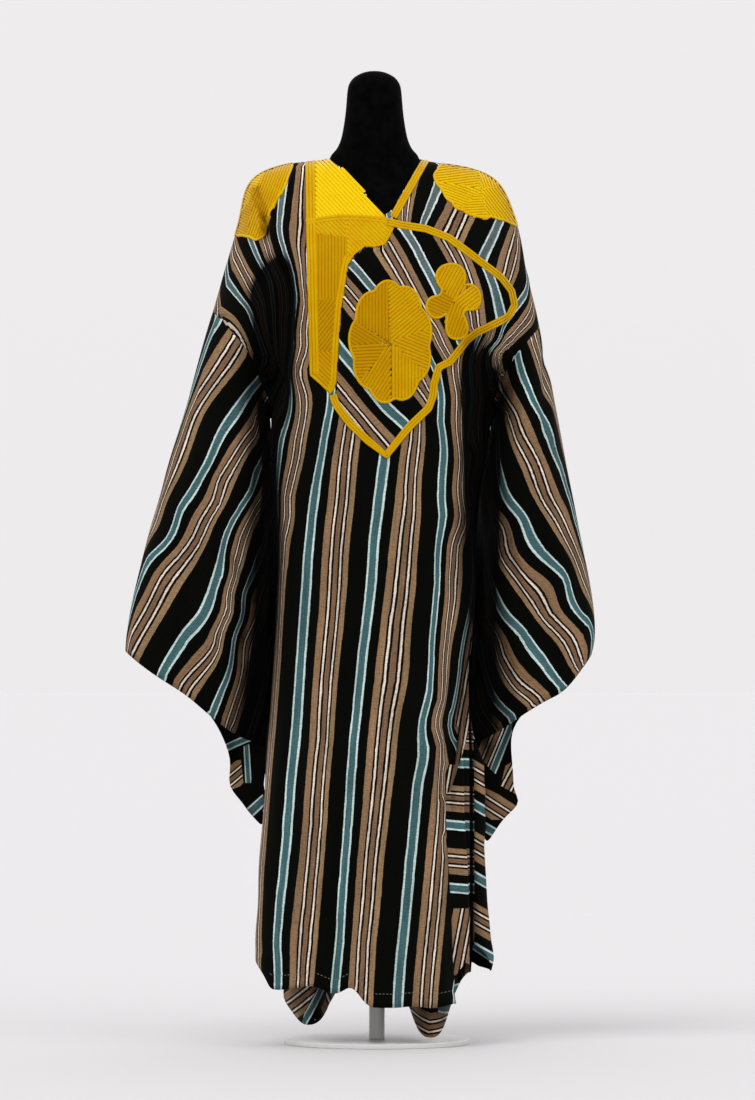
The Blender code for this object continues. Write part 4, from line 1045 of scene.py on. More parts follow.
for name, cut in CUTS.items():
    stripe_at = {}
    for node_name in cut.nodes:
        number = NODES.index(node_name)
        faces = [face_verts[i] for i, n in enumerate(face_piece) if n == number]
        stripe_at[number] = stripes_by_section(points, faces, GUIDES[cut.guides], cut.towards)
    sewn_piece(
        name, cut.nodes, lambda i, v: (stripe_at[face_piece[i]][v], points[v][2])
    )
for name, nodes in PIECED.items():
    sewn_piece(name, nodes, lambda i, v: (0.0, 0.0))
bpy.data.objects.remove(gown)
# The flat size that each piece was cut to, and the area of its cut, in metres.
Flat = namedtuple("Flat", "width length area held rests_on")
FLATS = {
    "gown_front": Flat(0.56, 1.42, 0.622, "draped", ["dress_form"]),
    "gown_back": Flat(0.56, 1.40, 0.520, "draped", ["dress_form"]),
    "sleeve_left": Flat(0.62, 0.62, 0.314, "hung", ["gown_front", "gown_back"]),
    "sleeve_right": Flat(0.60, 0.58, 0.270, "hung", ["gown_front", "gown_back"]),
    "gore_left": Flat(0.14, 0.62, 0.051, "hung", ["gown_front", "gown_back"]),
    "gore_right": Flat(0.20, 0.62, 0.082, "hung", ["gown_front", "gown_back"]),
    "godet_left": Flat(0.34, 0.50, 0.1155, "hung", ["gown_back"]),
    "godet_right": Flat(0.36, 0.50, 0.1267, "hung", ["gown_back"]),
    "gusset_left": Flat(0.09, 0.19, 0.0083, "hung", ["sleeve_left"]),
    "gusset_right": Flat(0.09, 0.21, 0.0102, "hung", ["sleeve_right"]),
}
for name, flat in FLATS.items():
    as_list(flat.rests_on)


# The pocket: a separately cut lobed cloth sewn on the front, its stripes at an angle of their own.
# The gold band covers its raw edge, so it is cut a little inside the band's outer side.
Place = namedtuple("Place", "across height")
POCKET_BAND = tuple(Place(*row) for row in (
    (0.038, 1.312), (0.078, 1.306), (0.114, 1.292), (0.141, 1.272), (0.17, 1.25), (0.198, 1.229),
    (0.214, 1.208), (0.219, 1.186), (0.21, 1.168), (0.189, 1.156), (0.158, 1.141), (0.142, 1.128),
    (0.128, 1.109), (0.116, 1.094), (0.098, 1.085), (0.09, 1.056), (0.089, 1.04), (0.082, 1.02),
    (0.051, 0.99), (0.015, 0.945), (-0.014, 0.968), (-0.043, 0.996), (-0.062, 1.022), (-0.066, 1.03),
))
NECK_PANEL = tuple(Place(*row) for row in (
    (-0.115, 1.44), (-0.075, 1.44), (-0.04, 1.4), (-0.004, 1.362), (0.012, 1.33), (0.018, 1.318),
    (0.028, 1.308), (0.021, 1.293), (0.013, 1.28), (-0.002, 1.276), (-0.019, 1.277), (-0.035, 1.264),
    (-0.046, 1.247), (-0.05, 1.218), (-0.056, 1.181), (-0.06, 1.13), (-0.064, 1.061), (-0.072, 1.042),
    (-0.107, 1.072), (-0.113, 1.324),
))
POCKET_ABOVE = 0.0011
POCKET_CLOTH = 0.0008
POCKET_MESH = 0.003
POCKET_CLEARANCE = 0.0006
POCKET_ACROSS = (-0.075, 0.225)
POCKET_UP = (0.94, 1.32)
POCKET_GUIDES = {
    -2 + TEAL: ((487, 270), (492.5, 283), (500.6, 313)),
    -1: ((455, 252), (461.4, 264.5), (470, 290), (474, 315), (476, 330)),
    -1 + TEAL: ((405, 232), (411, 240), (424, 264.5), (436, 288), (447, 312), (455, 330), (460, 342)),
    0: ((383, 240), (390, 253), (404, 277.4), (418.4, 304), (430, 325), (437, 335), (441, 345), (447, 356)),
    TEAL: ((343, 255), (351.2, 265), (368.5, 285.3), (390, 311), (412, 337), (430, 358)),
    1: ((340, 285), (351, 298), (375, 326), (400, 356), (424, 390), (430, 398)),
    1 + TEAL: ((336, 345), (342, 353), (365, 381), (384.3, 406), (395, 416), (408, 428)),
    2: ((330, 383), (336, 390.4), (360, 419), (384.3, 448.7)),
}


front_tree = surface_tree(["front_panel"])
back_tree = surface_tree(["back_panel"])


def on_cloth(tree, across, height, front=True):
    """Point and outward direction of the cloth at a place seen from the front or the back."""
    way = 1.0 if front else -1.0
    point, out, _, _ = tree.ray_cast(Vector((across, -0.6 * way, height)), Vector((0.0, way, 0.0)))
    if point is not None and out.y * way > 0.0:
        out = -out
    return point, out


def inside(outline, across, height):
    """Whether each place lies within an outline, by the number of its sides to the left of it."""
    within = np.zeros(np.shape(across), bool)
    for a, b in zip(outline, outline[1:] + outline[:1]):
        if a.height != b.height:
            crossing = (height < a.height) != (height < b.height)
            at = a.across + (height - a.height) / (b.height - a.height) * (b.across - a.across)
            within ^= crossing & (across < at)
    return within


# The pocket ends under the band and beside the neck panel's inner side.
pocket_edge = POCKET_BAND + tuple(
    Place(place.across + POCKET_CLEARANCE, place.height - POCKET_CLEARANCE) for place in NECK_PANEL[16:5:-1]
)
columns = np.arange(*POCKET_ACROSS, POCKET_MESH)
rows = np.arange(*POCKET_UP, POCKET_MESH)
pocket_verts, pocket_faces, pocket_index = [], [], {}
for i, j in np.argwhere(inside(pocket_edge, *(m + POCKET_MESH / 2 for m in np.meshgrid(columns, rows)))):
    corners = []
    for a, b in ((i, j), (i, j + 1), (i + 1, j + 1), (i + 1, j)):
        if (a, b) not in pocket_index:
            across, height = columns[0] + b * POCKET_MESH, rows[0] + a * POCKET_MESH
            point, out = on_cloth(front_tree, across, height)
            pocket_index[a, b] = len(pocket_verts)
            pocket_verts.append(np.array(point + out * (POCKET_ABOVE + POCKET_CLOTH)))
        corners.append(pocket_index[a, b])
    pocket_faces.append(tuple(corners))
pocket_stripes = stripes_by_section(pocket_verts, pocket_faces, POCKET_GUIDES, -1)
pocket_mesh = bpy.data.meshes.new("pocket_cloth")
pocket_mesh.from_pydata(pocket_verts, [], pocket_faces)
warp = pocket_mesh.uv_layers.new(name="warp")
for corner, vert in enumerate(v for face in pocket_faces for v in face):
    warp.data[corner].uv = (pocket_stripes.get(vert, 0.0), pocket_verts[vert][2])
pocket_mesh.shade_smooth()
pocket = add_object("pocket_cloth", pocket_mesh, striped_cotton)
apply_modifier(pocket, "SOLIDIFY", thickness=POCKET_CLOTH, offset=-1.0)
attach(pocket, "root")
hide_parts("pocket")


# Gold embroidery
# Thick glossy yellow thread laid in rows side by side and couched down, the rows turning from field to field.
# Each row is a low rounded strip that follows the cloth, and rows of edging finish every outline.
ROW_PITCH = 0.0052
ROW_WIDTH = 0.0058
ROW_STEP = 0.004
ROW_SAMPLE = 0.001
ROW_OVERRUN = 2
ROW_PROFILE = ((-0.5, -0.0002), (-0.38, 0.0007), (0.0, 0.0012), (0.38, 0.0007), (0.5, -0.0002))
ON_FRONT = 0.0002
GROUND_MESH = 0.003
# Painted shade: the ground layer under the rows is painted darker than the rows, and thread on a fold takes
# on part of the cloth's painted shade.
GROUND_TONE = 0.72
FOLD_PAINTED_SHADE = 0.75
ON_POCKET = POCKET_ABOVE + POCKET_CLOTH
Field = namedtuple("Field", "outline turn middle start end tone")


def as_places(marks):
    return tuple(Place(across_at(px), height_at(py)) for px, py in marks)


def rows_in_field(field, pitch):
    """Straight rows of places that fill a field, at its own turn."""
    turn = radians(field.turn)
    xs = [place.across for place in field.outline]
    zs = [place.height for place in field.outline]
    middle = Place((min(xs) + max(xs)) / 2, (min(zs) + max(zs)) / 2)
    reach = hypot(max(xs) - min(xs), max(zs) - min(zs)) / 2
    along = np.arange(-reach, reach, ROW_SAMPLE)
    found = []
    for number in range(-int(reach / pitch), int(reach / pitch) + 1):
        across = middle.across + along * cos(turn) - number * pitch * sin(turn)
        height = middle.height + along * sin(turn) + number * pitch * cos(turn)
        keep = inside(field.outline, across, height)
        if field.middle:
            angle = np.degrees(np.arctan2(height - field.middle.height, across - field.middle.across))
            keep &= (angle - field.start) % 360.0 < (field.end - field.start) % 360.0
        edges = np.flatnonzero(np.diff(np.concatenate([[0], keep.astype(int), [0]])))
        for start, end in zip(edges[::2], edges[1::2]):
            if end - start > 3:
                start, end = max(start - ROW_OVERRUN, 0), min(end + ROW_OVERRUN, len(along))
                count = max(2, int((end - start) * ROW_SAMPLE / ROW_STEP) + 1)
                picked = np.linspace(start, end - 1, count).round().astype(int)
                found.append([Place(across[i], height[i]) for i in picked])
    return found


def evenly(places, step, closed=False):
    """The same line with places at even steps along it."""
    line = list(places) + ([places[0]] if closed else [])
    run = [0.0]
    for a, b in zip(line, line[1:]):
        run.append(run[-1] + hypot(b.across - a.across, b.height - a.height))
    even = np.linspace(0.0, run[-1], max(2, int(run[-1] / step)) + 1)
    return [
        Place(x, z) for x, z in zip(
            np.interp(even, run, [p.across for p in line]), np.interp(even, run, [p.height for p in line])
        )
    ]


def beside(places, offset, closed=False):
    """A line at one side of another, to its left where positive."""
    count = len(places)
    moved = []
    for i, place in enumerate(places):
        before = places[(i - 1) % count] if closed else places[max(i - 1, 0)]
        after = places[(i + 1) % count] if closed else places[min(i + 1, count - 1)]
        run = hypot(after.across - before.across, after.height - before.height) or 1.0
        moved.append(Place(
            place.across - (after.height - before.height) / run * offset,
            place.height + (after.across - before.across) / run * offset,
        ))
    return moved


shade_tree = balanced_tree([Vector(point) for point in creased_points])


def tone_at(point, tone):
    """Tone of the thread at a point, painted darker in a fold as the cloth's painted shade is."""
    _, number, _ = shade_tree.find(point)
    return tone * (1.0 - FOLD_PAINTED_SHADE * painted_shade[number])


def ground_rows(mesh, strand, lit, outline, lift, front=True):
    """A first layer of flat thread under the rows, so that no cloth shows between them."""
    tree = front_tree if front else back_tree
    xs = [place.across for place in outline]
    zs = [place.height for place in outline]
    columns = np.arange(min(xs), max(xs), GROUND_MESH)
    rows = np.arange(min(zs), max(zs), GROUND_MESH)
    within = inside(outline, *np.meshgrid(columns, rows))
    within = within[:-1, :-1] & within[1:, :-1] & within[:-1, 1:] & within[1:, 1:]
    made = {}
    for i, j in np.argwhere(within):
        corners = []
        for a, b in ((i, j), (i, j + 1), (i + 1, j + 1), (i + 1, j)):
            if (a, b) not in made:
                point, out = on_cloth(tree, columns[b], rows[a], front)
                made[a, b] = mesh.verts.new(point + out * lift) if point is not None else None
                if made[a, b] is not None:
                    made[a, b][lit] = tone_at(point, GROUND_TONE)
            corners.append(made[a, b])
        if None not in corners:
            face = mesh.faces.new(corners if front else corners[::-1])
            face.smooth = True
            for loop in face.loops:
                loop[strand].uv = (0.5, loop.vert.co.z)


def couch(mesh, strand, lit, points, lift, width=ROW_WIDTH, tone=1.0):
    """Add one row of thread to a mesh, laid along points on the cloth, each with its outward direction."""
    points = [(point, out) for point, out in points if point is not None]
    if len(points) < 2:
        return
    rings, run, runs = [], 0.0, []
    for i, (point, out) in enumerate(points):
        before, after = points[max(i - 1, 0)][0], points[min(i + 1, len(points) - 1)][0]
        side = (after - before).cross(out).normalized()
        end = 0.8 if i in (0, len(points) - 1) else 1.0
        run += (point - before).length
        runs.append(run)
        ring = [
            mesh.verts.new(point + side * (share * width * end) + out * (lift + rise * end))
            for share, rise in ROW_PROFILE
        ]
        here = tone_at(point, tone)
        for vert in ring:
            vert[lit] = here
        rings.append(ring)
    for i in range(len(rings) - 1):
        for k in range(len(ROW_PROFILE) - 1):
            face = mesh.faces.new((rings[i][k], rings[i + 1][k], rings[i + 1][k + 1], rings[i][k + 1]))
            face.smooth = True
            corners = ((i, k), (i + 1, k), (i + 1, k + 1), (i, k + 1))
            for loop, (ring, across) in zip(face.loops, corners):
                loop[strand].uv = (ROW_PROFILE[across][0] + 0.5, runs[ring])


# Short rows cross the shoulder's ridge, where the rows of the front and of the back end.
RIDGE_PITCH = 0.0032
RIDGE_REACH = 0.016
RIDGE_INSET = 0.004
RIDGE_FROM = 0.74
RIDGE_TO = 0.96
OUTSIDE = 2.0
ridge_tree = surface_tree(["front_panel", "back_panel"])


def over_shoulder(side, outline):
    """Points across the ridge of one shoulder, row by row, as far as a rosette's outline goes."""
    inward = Vector((-side, 0.0, -1.0)).normalized()
    along = Vector((-side, 0.0, 1.0)).normalized()
    rows = []
    for place in np.arange(RIDGE_FROM, RIDGE_TO, RIDGE_PITCH):
        row = []
        for depth in np.arange(-RIDGE_REACH, RIDGE_REACH + 0.001, ROW_STEP):
            start = along * place - inward * OUTSIDE + Vector((0.0, depth, 0.0))
            point, out, _, _ = ridge_tree.ray_cast(start, inward)
            if point is not None:
                row.append((point, -out if out.dot(inward) > 0.0 else out))
        if len(row) > 4:
            middle = row[len(row) // 2][0] + inward * RIDGE_INSET
            if inside(outline, middle.x, middle.z):
                rows.append(row)
    return rows


Rosette = namedtuple("Rosette", "across height half_width half_height lobes notch turn")
ROSETTE_LARGE = Rosette(0.022, 1.125, 0.068, 0.100, 9, 0.09, 0.3)
# A shoulder rosette drapes over the shoulder's edge, with uneven lobes: reaches in millimetres by angle.
Draped = namedtuple("Draped", "px py lobes notch reaches")
SHOULDER_ROSETTE_LEFT = Draped(255, 200, 11, 0.06, (
    (-124, 66), (-108, 61), (-90, 67), (-72, 61), (-60, 43), (-40, 34), (-14, 33), (8, 41), (22, 53),
    (37, 74), (43, 86), (58, 78), (90, 62), (130, 56), (180, 56), (212, 60),
))
SHOULDER_ROSETTE_RIGHT = Draped(475, 190, 12, 0.06, (
    (-158, 48), (-132, 43), (-108, 42), (-75, 48), (-58, 55), (-46, 68), (-40, 91), (-30, 80), (0, 62),
    (50, 58), (100, 58), (140, 70), (147, 75), (160, 72), (173, 63), (186, 53),
))
Lobe = namedtuple("Lobe", "angle reach spread")
ROSETTE_SMALL = Place(0.123, 1.192)
ROSETTE_SMALL_CORE = 0.026
ROSETTE_SMALL_LOBES = (
    Lobe(1.72, 0.060, 0.52), Lobe(0.20, 0.044, 0.66), Lobe(3.52, 0.048, 0.50), Lobe(4.80, 0.064, 0.36),
)
ROSETTE_POINTS = 108


def rosette_outline(rosette):
    """Scalloped oval of equal lobes."""
    places = []
    for i in range(ROSETTE_POINTS):
        angle = 2 * pi * i / ROSETTE_POINTS
        crest = abs(sin(rosette.lobes * angle / 2 + rosette.turn)) ** 0.8
        scallop = 1.0 - rosette.notch * (1.0 - crest)
        across = rosette.across + rosette.half_width * scallop * cos(angle)
        places.append(Place(across, rosette.height + rosette.half_height * scallop * sin(angle)))
    return tuple(places)


def draped_outline(rosette):
    """Scalloped outline through uneven reaches."""
    angles = np.array([angle for angle, _ in rosette.reaches] + [rosette.reaches[0][0] + 360])
    reaches = np.array([reach for _, reach in rosette.reaches] + [rosette.reaches[0][1]])
    places = []
    for i in range(ROSETTE_POINTS):
        angle = 360.0 * i / ROSETTE_POINTS
        reach = 0.001 * np.interp((angle - angles[0]) % 360.0 + angles[0], angles, reaches)
        crest = abs(sin(radians(rosette.lobes * angle / 2))) ** 0.8
        reach *= 1.0 - rosette.notch * (1.0 - crest)
        across = across_at(rosette.px) + reach * cos(radians(angle))
        places.append(Place(across, height_at(rosette.py) + reach * sin(radians(angle))))
    return tuple(places)


def four_lobe_outline():
    """Four lobes of uneven length round a small core."""
    places = []
    for i in range(ROSETTE_POINTS):
        angle = 2 * pi * i / ROSETTE_POINTS
        reach = ROSETTE_SMALL_CORE
        for lobe in ROSETTE_SMALL_LOBES:
            off = abs((angle - lobe.angle + pi) % (2 * pi) - pi) / (lobe.spread * 1.6)
            reach = max(reach, lobe.reach * max(0.0, 1.0 - off ** 2.4) ** 0.5)
        across = ROSETTE_SMALL.across + reach * cos(angle)
        places.append(Place(across, ROSETTE_SMALL.height + reach * sin(angle)))
    return tuple(places)


def wedges(middle, turns):
    """Fields round a middle, each from its angle to the next one's, with its rows at its own turn."""
    starts = [row[0] for row in turns]
    ends = starts[1:] + [starts[0] + 360]
    return [Field(None, turn, middle, start, end, tone) for (start, turn, tone), end in zip(turns, ends)]


# Gold thread: smooth yellow thread, glossy along each strand, with fine strands twisted in it.
gold_thread, gold = new_material(
    "gold_thread", Roughness=0.42, Specular_IOR_Level=0.35, Specular_Tint=linear("ffcc20")
)
strand_map = node(gold_thread, "UVMap", {"uv_map": "strand"}).outputs[0]
thread_place = node(gold_thread, "TexCoord").outputs["Object"]
thread_noise = node(gold_thread, "TexNoise", {"Scale": 45.0, "Detail": 3.0}, Vector=thread_place).outputs[0]
# Thread with more painted light is also painted yellower, and each row differs a little.
painted_light = node(gold_thread, "Attribute", {"attribute_name": "tone"}).outputs["Fac"]
yellower = maths(gold_thread, "MULTIPLY_ADD", painted_light, 0.5, maths(gold_thread, "MULTIPLY", thread_noise, 0.4))
tones = node(gold_thread, "ValToRGB", (), Fac=yellower)
for stop, place, code in zip(tones.color_ramp.elements, (0.62, 0.95), ("c38d02", "c6a506")):
    stop.position = place
    stop.color = linear(code)
# The hollow between two rows is painted darker: painted shade where the ground and the thread's own shade
# show there.
strand_across = node(gold_thread, "SeparateXYZ", (), _0=strand_map).outputs[0]
edge = maths(gold_thread, "PINGPONG", strand_across, 0.5)
hollow = ranged(gold_thread, edge, 0.0, 0.17, 0.42, 1.0)
# Painted light and painted shade: the thread is painted brighter where it faces the light, and darker in the
# folds and between rows.
lit = maths(gold_thread, "MULTIPLY", hollow, painted_light)
thread_colour = node(gold_thread, "VectorMath", {"operation": "SCALE"}, _0=tones.outputs[0], Scale=lit)
join_nodes(gold_thread, thread_colour.outputs[0], gold.inputs["Base Color"])
# Strands 0.8 mm apart run at a slant round each 5 mm row.
strand_place = node(gold_thread, "Mapping", {"Scale": (40.0, 2500.0, 1.0)}, Vector=strand_map)
strand_split = node(gold_thread, "SeparateXYZ", (), _0=strand_place.outputs[0]).outputs
strands = maths(gold_thread, "SINE", maths(gold_thread, "ADD", strand_split[0], strand_split[1]))
relief = node(gold_thread, "Bump", {"Strength": 0.5, "Distance": 0.0003}, Height=strands)
join_nodes(gold_thread, relief.outputs[0], gold.inputs["Normal"])

large = Place(ROSETTE_LARGE.across, ROSETTE_LARGE.height)
right_shoulder = Place(0.168, 1.372)
left_shoulder = Place(-0.196, 1.372)
# Each field's last number is its painted light: fields that face up, at the top of the neck panel and on the
# shoulders, are painted brighter, and lower ones darker.
FIELDS = {
    "neck_embroidery": [
        Field(as_places(
            ((316, 140), (334, 140), (352, 171), (376, 195), (390, 215), (376, 219), (339, 217), (316, 220))
        ), -47, None, 0, 0, 1.5),
        Field(as_places(((316, 220), (347, 218), (347, 238), (316, 234))), -45, None, 0, 0, 1.1),
        Field(as_places(((347, 218), (400, 221), (400, 256), (347, 280))), -45, None, 0, 0, 1.15),
        Field(as_places(((316, 234), (347, 238), (351, 262), (346, 300), (316, 300))), 90, None, 0, 0, 0.92),
        Field(as_places(((316, 300), (346, 300), (343, 352), (316, 352))), 52, None, 0, 0, 0.86),
        Field(as_places(((316, 352), (343, 352), (340, 400), (312, 390))), -45, None, 0, 0, 0.95),
    ],
    "rosette_large": wedges(large, (
        (-42, -22, 1.0), (20, 40, 1.02), (92, 90, 0.86), (150, -32, 0.8), (185, 3, 0.85), (232, 58, 0.95),
        (270, 90, 1.05),
    )),
    "rosette_small": wedges(ROSETTE_SMALL, (
        (45, 62, 1.0), (135, -24, 0.85), (245, 70, 0.95), (318, 38, 1.05),
    )),
    "shoulder_rosette_left": wedges(left_shoulder, (
        (-100, 70, 1.1), (60, -12, 1.4), (140, -42, 1.25), (240, -30, 1.0),
    )),
    "shoulder_rosette_right": wedges(
        right_shoulder, ((-80, -52, 1.35), (10, -70, 1.3), (100, 8, 1.3), (170, -20, 1.35), (225, 4, 1.3))
    ),
}
OUTLINES = {
    "neck_embroidery": NECK_PANEL,
    "rosette_large": rosette_outline(ROSETTE_LARGE),
    "rosette_small": four_lobe_outline(),
    "shoulder_rosette_left": draped_outline(SHOULDER_ROSETTE_LEFT),
    "shoulder_rosette_right": draped_outline(SHOULDER_ROSETTE_RIGHT),
}
LEFT_EDGE = (Place(-0.115, 1.440), Place(-0.113, 1.324), Place(-0.107, 1.074))
ARCH = as_places(((306, 221.5), (316, 219.5), (339, 216.6), (360, 217), (376, 218.4), (396, 222)))
COLUMN_EDGE = as_places((
    (351, 258), (348.3, 267), (345.8, 285), (342, 308), (339.5, 340), (337, 383), (333, 393),
))
NECK_BAND = (Place(0.0845, 1.440), Place(0.052, 1.380), Place(0.0225, 1.327))
POCKET_LINE = (Place(0.017, 1.3175),) + POCKET_BAND + (Place(-0.0695, 1.0415),)
BAND_PITCH = 0.0040
BAND_ROW = 0.0046
LINES = {
    "neck_embroidery": [
        beside(LEFT_EDGE, 0.0026 + k * ROW_PITCH) for k in range(3)
    ] + [ARCH, beside(ARCH, -0.0050), beside(COLUMN_EDGE, -0.0026), beside(COLUMN_EDGE, -0.0078)],
    "neck_band": [beside(NECK_BAND, k * BAND_PITCH) for k in (0, 1, 2)],
    "pocket_band": [beside(POCKET_LINE, k * BAND_PITCH) for k in (-1, 0, 1)],
}
EDGE_INSET = 0.0024
EDGE_ROW = 0.0046
# Painted light: edging and lines are painted a little brighter than the rows, and on the shoulders, which
# face up, the edging and the rows over the ridge brighter still.
EDGE_TONE = 1.1
SHOULDER_PITCH = 0.0042
SHOULDER_EDGE_TONE = 1.25
RIDGE_TONE = 1.2
# Rows overlap a little. Edging lies on the rows, lines a little lower, and rows over a ridge lower still.
OVERLAP = 1.14
RIDGE_OVERLAP = 1.5
EDGE_ABOVE = 0.0005
LINE_ABOVE = 0.0004
RIDGE_ABOVE = 0.0003
BACK_ROWS_ABOVE = 1.30

for name in ("neck_embroidery", "neck_band", "pocket_band", *list(OUTLINES)[1:]):
    on_pocket = name in ("pocket_band", "rosette_large", "rosette_small")
    lift = ON_POCKET if on_pocket else ON_FRONT
    shoulder = name.startswith("shoulder")
    pitch = SHOULDER_PITCH if shoulder else ROW_PITCH
    rows = []
    for field in FIELDS.get(name, ()):
        outline = field.outline or OUTLINES[name]
        for row in rows_in_field(field._replace(outline=outline), pitch):
            rows.append((row, lift, pitch * OVERLAP, field.tone))
    if name in OUTLINES:
        inner = []
        for row, up, width, tone in rows:
            within = inside(OUTLINES[name], *np.array(row).T)
            if within.sum() > 1:
                inner.append(([p for p, is_in in zip(row, within) if is_in], up, width, tone))
        edging = evenly(OUTLINES[name], ROW_STEP, closed=True)
        inset = -EDGE_INSET if name == "neck_embroidery" else EDGE_INSET
        edge_tone = SHOULDER_EDGE_TONE if shoulder else EDGE_TONE
        rows = inner + [(beside(edging, inset), lift + EDGE_ABOVE, EDGE_ROW, edge_tone)]
    for line in LINES.get(name, ()):
        line_width = BAND_ROW if "band" in name else ROW_WIDTH
        rows.append((evenly(line, ROW_STEP), lift + LINE_ABOVE, line_width, EDGE_TONE))
    mesh = bmesh.new()
    strand = mesh.loops.layers.uv.new("strand")
    lit_layer = mesh.verts.layers.float.new("tone")
    for front in ((True, False) if shoulder else (True,)):
        if name in OUTLINES:
            ground_rows(mesh, strand, lit_layer, OUTLINES[name], lift, front)
        for row, up, width, tone in rows:
            if front or max(p.height for p in row) > BACK_ROWS_ABOVE:
                tree = front_tree if front else back_tree
                laid = [on_cloth(tree, place.across, place.height, front) for place in row]
                couch(mesh, strand, lit_layer, laid, up, width, tone)
    if shoulder:
        for row in over_shoulder(-1.0 if name.endswith("left") else 1.0, OUTLINES[name]):
            couch(mesh, strand, lit_layer, row, lift + RIDGE_ABOVE, RIDGE_PITCH * RIDGE_OVERLAP, RIDGE_TONE)
    made = bpy.data.meshes.new(name + "_thread")
    mesh.to_mesh(made)
    mesh.free()
    work = add_object(name + "_thread", made, gold_thread)
    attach(work, "root")
    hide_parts(*((name, name + "_back") if shoulder else (name,)))


# Hem stitches: one row of pale running stitches in sewing cotton, 22 mm above the front's hem.
HEM_TURNED = 0.022
STITCH_PITCH = 0.0058
STITCH_LENGTH = 0.0034
STITCH_WIDTH = 0.0007
STITCH_ABOVE = 0.0003
sewing_cotton, _ = new_material(
    "sewing_cotton", Base_Color=linear("77705f"), Roughness=0.8, Specular_IOR_Level=0.1
)
HEM_BELOW = 0.2
HEM_ENDS = 0.012
edge_uses = {}
for verts, number in zip(face_verts, face_piece):
    for a, b in zip(verts, verts[1:] + verts[:1]):
        edge_uses.setdefault((min(a, b), max(a, b)), []).append(number)
front_number = NODES.index("front_panel")
rim = {v for edge, uses in edge_uses.items() if uses == [front_number] for v in edge}
hem_points = sorted((tuple(creased_points[v]) for v in rim if creased_points[v][2] < HEM_BELOW))
hem_across, _, hem_height = zip(*hem_points)
stitch_verts, stitch_faces = [], []
for across in np.arange(hem_across[0] + HEM_ENDS, hem_across[-1] - HEM_ENDS, STITCH_PITCH):
    ends = []
    for end in (across, across + STITCH_LENGTH):
        height = np.interp(end, hem_across, hem_height) + HEM_TURNED
        ends.append(on_cloth(front_tree, end, height))
    if any(point is None for point, _ in ends) or (ends[0][0] - ends[1][0]).length > 2.0 * STITCH_LENGTH:
        continue
    first = len(stitch_verts)
    for point, out in ends:
        for half in (-0.5, 0.5):
            stitch_verts.append(point + out * STITCH_ABOVE + Vector((0.0, 0.0, half * STITCH_WIDTH)))
    stitch_faces.append((first, first + 2, first + 3, first + 1))
stitch_mesh = bpy.data.meshes.new("hem_stitches")
stitch_mesh.from_pydata(stitch_verts, [], stitch_faces)
hem_stitches = add_object("hem_stitches", stitch_mesh, sewing_cotton)
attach(hem_stitches, "root")


# The dress form: a limbless padded torso with a neck, covered in black velvet stretched smooth.
# Short dark pile takes nearly all the light and gives a soft rim at its edges.
FormSection = namedtuple("FormSection", "height half_width front back")
FORM_MIDDLE = -0.004
FORM_SIDES = 72
FORM = tuple(FormSection(*row) for row in (
    (0.801, 0.124, 0.084, 0.088), (0.806, 0.137, 0.097, 0.101), (0.82, 0.1425, 0.1035, 0.1055),
    (0.88, 0.1425, 0.1035, 0.1055), (0.97, 0.1335, 0.0975, 0.0935), (1.06, 0.1175, 0.0875, 0.0815),
    (1.15, 0.1315, 0.0995, 0.0875), (1.22, 0.1495, 0.1115, 0.0935), (1.28, 0.1655, 0.1035, 0.0935),
    (1.33, 0.1815, 0.0875, 0.0855), (1.36, 0.1875, 0.0715, 0.0735), (1.376, 0.1835, 0.0595, 0.0615),
    (1.387, 0.1675, 0.0515, 0.0535), (1.398, 0.1275, 0.0455, 0.0475), (1.407, 0.0895, 0.0425, 0.0445),
    (1.42, 0.0745, 0.0415, 0.0435), (1.43, 0.069, 0.042, 0.044), (1.441, 0.0598, 0.0425, 0.0445),
    (1.458, 0.053, 0.0435, 0.0455), (1.484, 0.0482, 0.044, 0.0455), (1.506, 0.0456, 0.043, 0.044),
    (1.533, 0.0433, 0.0405, 0.041), (1.545, 0.04, 0.037, 0.0375), (1.5545, 0.0325, 0.03, 0.0305),
    (1.5615, 0.02, 0.019, 0.019), (1.5643, 0.009, 0.0085, 0.0085),
))
FORM_TOP = 1.565
FORM_STEPS = 4


def between(sections_list, position):
    """Section at a place between the listed ones, on a smooth curve through them."""
    i = min(int(position), len(sections_list) - 2)
    share = position - i
    around = [np.array(sections_list[min(max(k, 0), len(sections_list) - 1)]) for k in range(i - 1, i + 3)]
    slope_before, slope_after = (around[2] - around[0]) / 2, (around[3] - around[1]) / 2
    cube, square = share ** 3, share ** 2
    return (
        (2 * cube - 3 * square + 1) * around[1] + (cube - 2 * square + share) * slope_before
        + (3 * square - 2 * cube) * around[2] + (cube - square) * slope_after
    )


form_mesh = bmesh.new()
rings = []
for step in range((len(FORM) - 1) * FORM_STEPS + 1):
    height, half_width, front_depth, back_depth = between(FORM, step / FORM_STEPS)
    ring = []
    for i in range(FORM_SIDES):
        angle = 2 * pi * i / FORM_SIDES
        across = abs(cos(angle)) ** 0.83 * (1 if cos(angle) > 0 else -1)
        y = (back_depth if sin(angle) > 0 else front_depth) * abs(sin(angle)) * (1 if sin(angle) > 0 else -1)
        ring.append(form_mesh.verts.new((FORM_MIDDLE + half_width * across, y, height)))
    rings.append(ring)
for lower, upper in zip(rings, rings[1:]):
    for i in range(FORM_SIDES):
        j = (i + 1) % FORM_SIDES
        form_mesh.faces.new((lower[i], lower[j], upper[j], upper[i])).smooth = True
form_mesh.faces.new(rings[0][::-1])
crown = form_mesh.verts.new((FORM_MIDDLE, 0.0, FORM_TOP))
for i in range(FORM_SIDES):
    form_mesh.faces.new((rings[-1][i], rings[-1][(i + 1) % FORM_SIDES], crown)).smooth = True
torso = bpy.data.meshes.new("velvet_torso")
form_mesh.to_mesh(torso)
form_mesh.free()
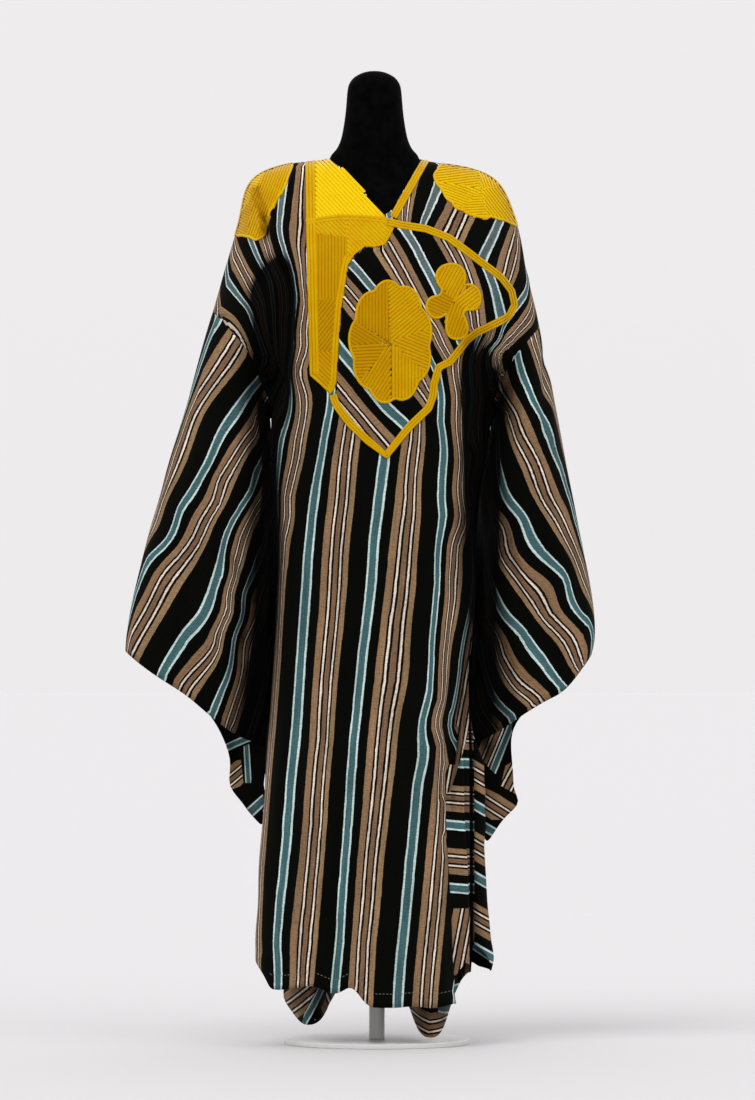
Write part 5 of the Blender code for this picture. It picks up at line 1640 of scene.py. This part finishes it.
black_velvet, velvet = new_material(
    "black_velvet", Roughness=0.95, Specular_IOR_Level=0.03, Sheen_Weight=0.012, Sheen_Roughness=0.4
)
velvet_place = node(black_velvet, "TexCoord").outputs["Object"]
pile = node(black_velvet, "TexNoise", {"Scale": 60.0, "Detail": 4.0}, Vector=velvet_place)
pile_tones = node(black_velvet, "ValToRGB", (), Fac=pile.outputs[0])
for stop, place, code in zip(pile_tones.color_ramp.elements, (0.35, 0.65), ("010101", "040504")):
    stop.position = place
    stop.color = linear(code)
join_nodes(black_velvet, pile_tones.outputs[0], velvet.inputs["Base Color"])
nap = node(black_velvet, "TexNoise", {"Scale": 900.0, "Detail": 2.0}, Vector=velvet_place)
nap_bump = node(black_velvet, "Bump", {"Strength": 0.3, "Distance": 0.0006}, Height=nap.outputs[0])
join_nodes(black_velvet, nap_bump.outputs[0], velvet.inputs["Normal"])
form = add_object("velvet_torso", torso, black_velvet)
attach(form, "root")
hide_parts("dress_form")


# The stand: a turned steel pole on a round steel plate, both spray painted a pale satin grey.
# Fine orange peel in the paint gives a broken, soft highlight.
pale_paint, paint_shader = new_material("pale_satin_paint", Roughness=0.4)
paint_place = node(pale_paint, "TexCoord").outputs["Object"]
peel = node(pale_paint, "TexNoise", {"Scale": 700.0, "Detail": 2.0}, Vector=paint_place)
peel_bump = node(pale_paint, "Bump", {"Strength": 0.15, "Distance": 0.0002}, Height=peel.outputs[0])
join_nodes(pale_paint, peel_bump.outputs[0], paint_shader.inputs["Normal"])
dust = node(pale_paint, "TexNoise", {"Scale": 18.0, "Detail": 4.0}, Vector=paint_place)
dust_tones = node(pale_paint, "ValToRGB", (), Fac=dust.outputs[0])
for stop, code in zip(dust_tones.color_ramp.elements, ("c3c1c0", "cccac9")):
    stop.color = linear(code)
join_nodes(pale_paint, dust_tones.outputs[0], paint_shader.inputs["Base Color"])
for name in ("stand_pole", "stand_base"):
    bpy.data.objects[name].data.materials.clear()
    bpy.data.objects[name].data.materials.append(pale_paint)
